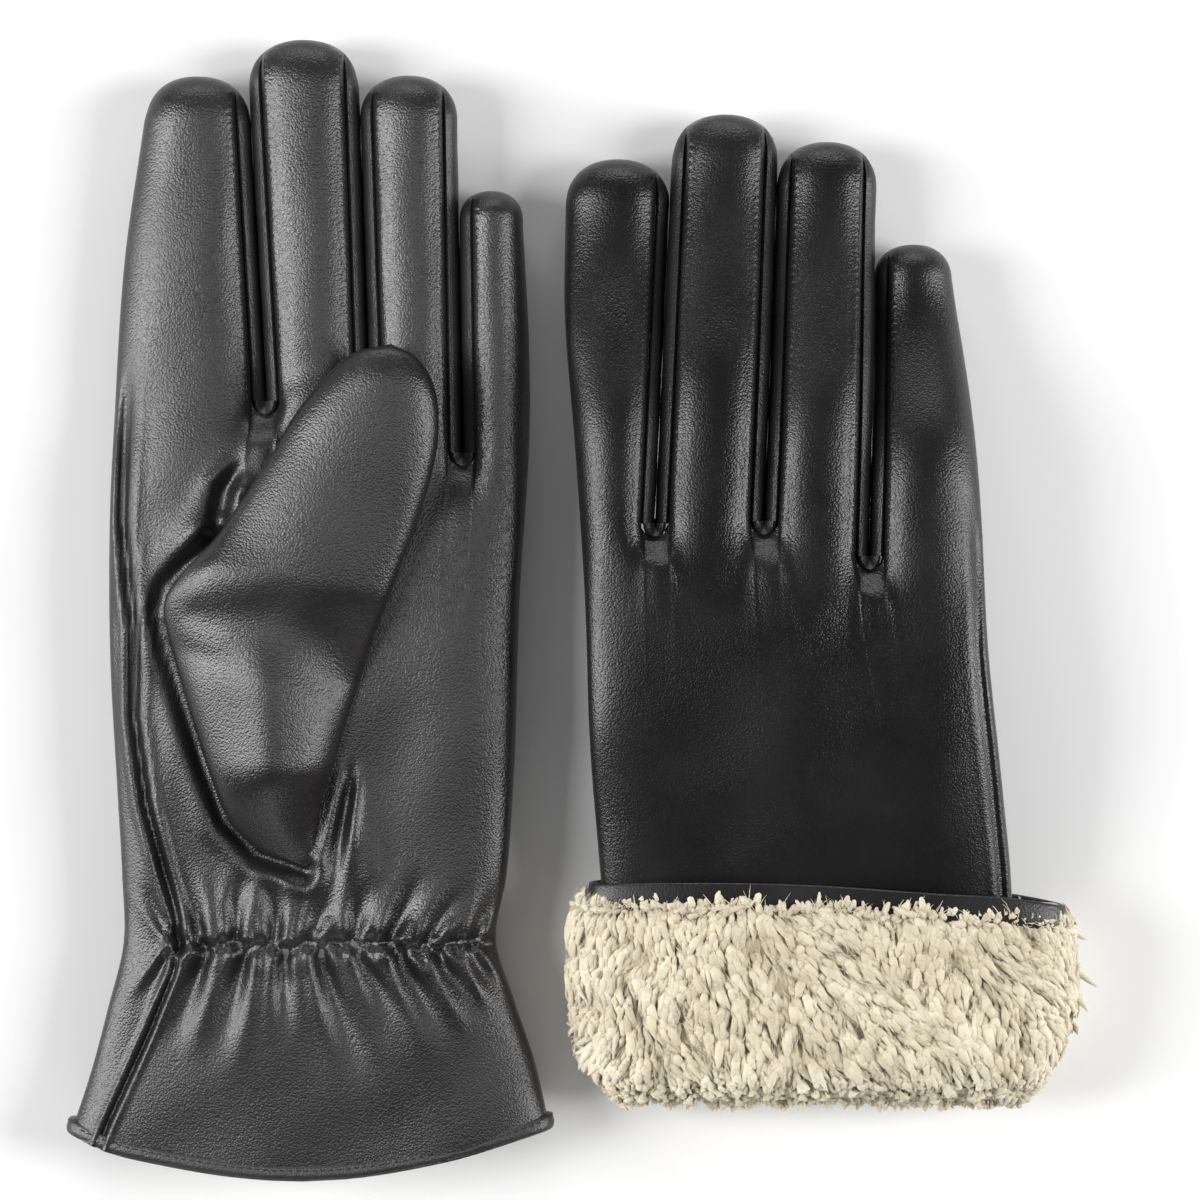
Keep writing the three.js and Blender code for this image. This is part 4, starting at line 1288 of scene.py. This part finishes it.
# %% Leathers
def leather(name, dark, light, smooth, rough, pebbles, height):
    """A leather: grain on the normal, and a slow change of colour and gloss."""
    made, tree, shader = new_material(name)
    grain = node(tree, "ShaderNodeGroup", (-700, 0), node_tree=GRAIN)
    feed(tree, grain, {"Pebbles": pebbles, "Pebble height": height})
    tone = grain.outputs["Tone"]
    press = node(tree, "ShaderNodeBump", (-250, -250),
                 {"Distance": 0.0001, "Strength": 0.8, "Height": grain.outputs["Height"]})
    feed(tree, shader, {
        "Base Color": ramp(tree, (-450, 200), dark, light, tone),
        "Roughness": ramp(tree, (-450, -50), smooth, rough, tone),
        "Normal": press.outputs["Normal"], "Specular IOR Level": 0.4,
    })
    return made


nappa = leather("black nappa leather", (0.0062, 0.0056, 0.0062), (0.0098, 0.0088, 0.0096),
                0.27, 0.35, 2000, -1.0)
side_nappa = leather("black fourchette leather", (0.008, 0.0075, 0.008), (0.012, 0.011, 0.012),
                     0.33, 0.41, 2000, -0.8)
bound_nappa = leather("black binding leather", (0.010, 0.0095, 0.010), (0.015, 0.014, 0.015),
                      0.32, 0.4, 2000, -0.8)
print("leathers:", nappa.name, "/", side_nappa.name, "/", bound_nappa.name)

# %% [markdown]
# ## Fleece, thread and elastic
# Fleece is cream, and light goes a little way into it. The ground under the locks and the
# linings are painted a darker, warmer cream than the locks: painted shade. Each lock carries
# its own value, so that neighbours differ.

# %% Fleece material
def fleece_material(name, low, high, by_lock):
    """Cream fleece: cloudy in colour, fuzzy on its surface, and each lock a little different."""
    made, tree, shader = new_material(name)
    where = node(tree, "ShaderNodeTexCoord", (-1000, 0)).outputs["Object"]
    cloud = node(tree, "ShaderNodeTexNoise", (-800, 0), {"Vector": where, "Scale": 90, "Detail": 3})
    value = cloud.outputs["Fac"]
    if by_lock:
        own = node(tree, "ShaderNodeAttribute", (-800, 250), attribute_name="lock")
        mixed = node(tree, "ShaderNodeMath", (-600, 100),
                     {0: own.outputs["Fac"], 1: 0.3, 2: value}, operation="MULTIPLY_ADD")
        value = mixed.outputs[0]
    fibre = node(tree, "ShaderNodeTexNoise", (-800, -300),
                 {"Vector": where, "Scale": 1900, "Detail": 3})
    fuzz = node(tree, "ShaderNodeBump", (-300, -300),
                {"Distance": 0.00025, "Strength": 0.7, "Height": fibre.outputs["Fac"]})
    feed(tree, shader, {
        "Base Color": ramp(tree, (-400, 200), low, high, value, 0.3, 0.9),
        "Normal": fuzz.outputs["Normal"], "Roughness": 0.95, "Specular IOR Level": 0.15,
        "Sheen Weight": 0.25, "Sheen Roughness": 0.6,
        "Subsurface Weight": 0.15, "Subsurface Radius": (0.0012, 0.0009, 0.0006),
    })
    return made


# %% Fleece, thread and elastic
lock_fleece = fleece_material("cream fleece locks", (0.47, 0.41, 0.29), (0.71, 0.65, 0.51), True)
# The ground and lining fleece is a darker copy of the cream: painted shade under and between the locks.
painted_shade_fleece = fleece_material("cream fleece ground painted shade", (0.44, 0.38, 0.26), (0.62, 0.55, 0.41), False)
thread = leather("black thread", (0.004, 0.004, 0.005), (0.008, 0.008, 0.009),
                 0.5, 0.6, 3000, 1.0)
elastic = leather("woven elastic", (0.05, 0.05, 0.055), (0.08, 0.08, 0.085), 0.7, 0.8, 900, 1.0)
print("materials:", len(bpy.data.materials))


# %% Dressing the pieces
def dress(piece, material):
    """Gives a piece its one material and the slot under which it can be changed."""
    piece.data.materials.clear()
    piece.data.materials.append(material)


for piece in leather_pieces:
    bound = piece.name in ("left_hem", "right_hem", "right_cuff_facing")
    dress(piece, bound_nappa if bound else nappa)
for piece in fourchette_pieces:
    dress(piece, side_nappa)
for piece in fleece_pieces:
    pile = "locks" in piece.name or "hairs" in piece.name
    dress(piece, lock_fleece if pile else painted_shade_fleece)
for piece in thread_pieces:
    dress(piece, thread)
for name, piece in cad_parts.items():
    if piece.hide_render:
        continue
    for spot in piece.material_slots:
        spot.material = elastic if "elastic" in name else painted_shade_fleece if "lining" in name else nappa
print("CAD nodes still shown:", [n for n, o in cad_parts.items() if not o.hide_render])

# %% [markdown]
# ## The flat cuts
# Each leather piece was flat before it was sewn. The fleece is a pad, slack inside the hand and
# fuller where the cuff is turned back.


# %% [markdown]
# ## Floor, light and camera
# The pair lies on a plain pale floor in nearly dark air. The floor isn't part of the gloves.

# %% Floor
bpy.ops.object.select_all(action="DESELECT")
bpy.ops.mesh.primitive_plane_add(size=8, location=(0, 0, 0))
floor = bpy.context.object
floor.name = "floor"
paper, tree, shader = new_material("pale floor")
feed(tree, shader, {"Base Color": (0.93, 0.93, 0.93, 1), "Roughness": 0.9})
floor.data.materials.append(paper)

print("stage:", floor.name)

# %% Air
world = bpy.data.worlds.new("studio")
bpy.context.scene.world = world
world.use_nodes = True
air = world.node_tree.nodes["Background"]
feed(world.node_tree, air, {"Color": (1, 1, 1, 1), "Strength": 0.10})
bpy.context.scene.view_settings.view_transform = "Standard"

print("air, strength:", round(air.inputs["Strength"].default_value, 2))

# %% [markdown]
# ## Light
# Black leather shows its shape only by what it mirrors. Each glove has its own soft boxes, which
# light no other piece, and four broad boxes stand round the table and light the whole scene.

# %% Soft lights
def soft_light(name, at, aim, size, watts, lit=None):
    """A rectangular soft box. Where lit is given, only those pieces take its light."""
    lamp = bpy.data.lights.new(name, "AREA")
    lamp.shape, lamp.size, lamp.size_y, lamp.energy = "RECTANGLE", *size, watts
    made = bpy.data.objects.new(name, lamp)
    made.location = at
    made.rotation_euler = (Vector(aim) - Vector(at)).to_track_quat("-Z", "Y").to_euler()
    bpy.context.collection.objects.link(made)
    if lit is not None:
        group = bpy.data.collections.new(name + " lights")
        for piece in lit:
            group.objects.link(piece)
        made.light_linking.receiver_collection = group


pieces = [o for o in bpy.context.scene.objects if o.type == "MESH"]
left_pieces = [o for o in pieces if o.name.startswith("left")]
right_pieces = [o for o in pieces if o.name.startswith("right")]
soft_light("over left glove", (0.14, 0.10, 0.9), (-0.06, 0.0, 0), (0.30, 0.6), 2.0, left_pieces)
soft_light("low left glove", (-0.62, 0.16, 0.75), (-0.06, 0.0, 0), (0.30, 0.8), 11, left_pieces)
soft_light("over right glove", (-0.60, 0.15, 0.72), (0.05, 0.0, 0), (0.35, 0.8), 2.5, right_pieces)
soft_light("right side", (1.9, 0.0, 0.75), (0, 0, 0), (0.8, 2.2), 62)
soft_light("left side", (-1.9, 0.0, 0.75), (0, 0, 0), (0.8, 2.2), 62)
soft_light("far side", (0.0, 2.0, 0.7), (0, 0, 0), (2.2, 0.7), 22)
soft_light("near side", (0.0, -2.0, 0.7), (0, 0, 0), (2.2, 0.7), 12)

# %% [markdown]
# ## Camera
# The camera looks straight down from 1.2 m with a long lens, so that nothing leans.

# %% Camera
camera = bpy.data.objects.new("camera", bpy.data.cameras.new("camera"))
bpy.context.collection.objects.link(camera)
camera.location = (0.00657, 0.00196, 1.22)
camera.data.sensor_width = 36
camera.data.lens = 36 * 1.20 / 0.276
camera.data.clip_start, camera.data.clip_end = 0.05, 50
bpy.context.scene.camera = camera
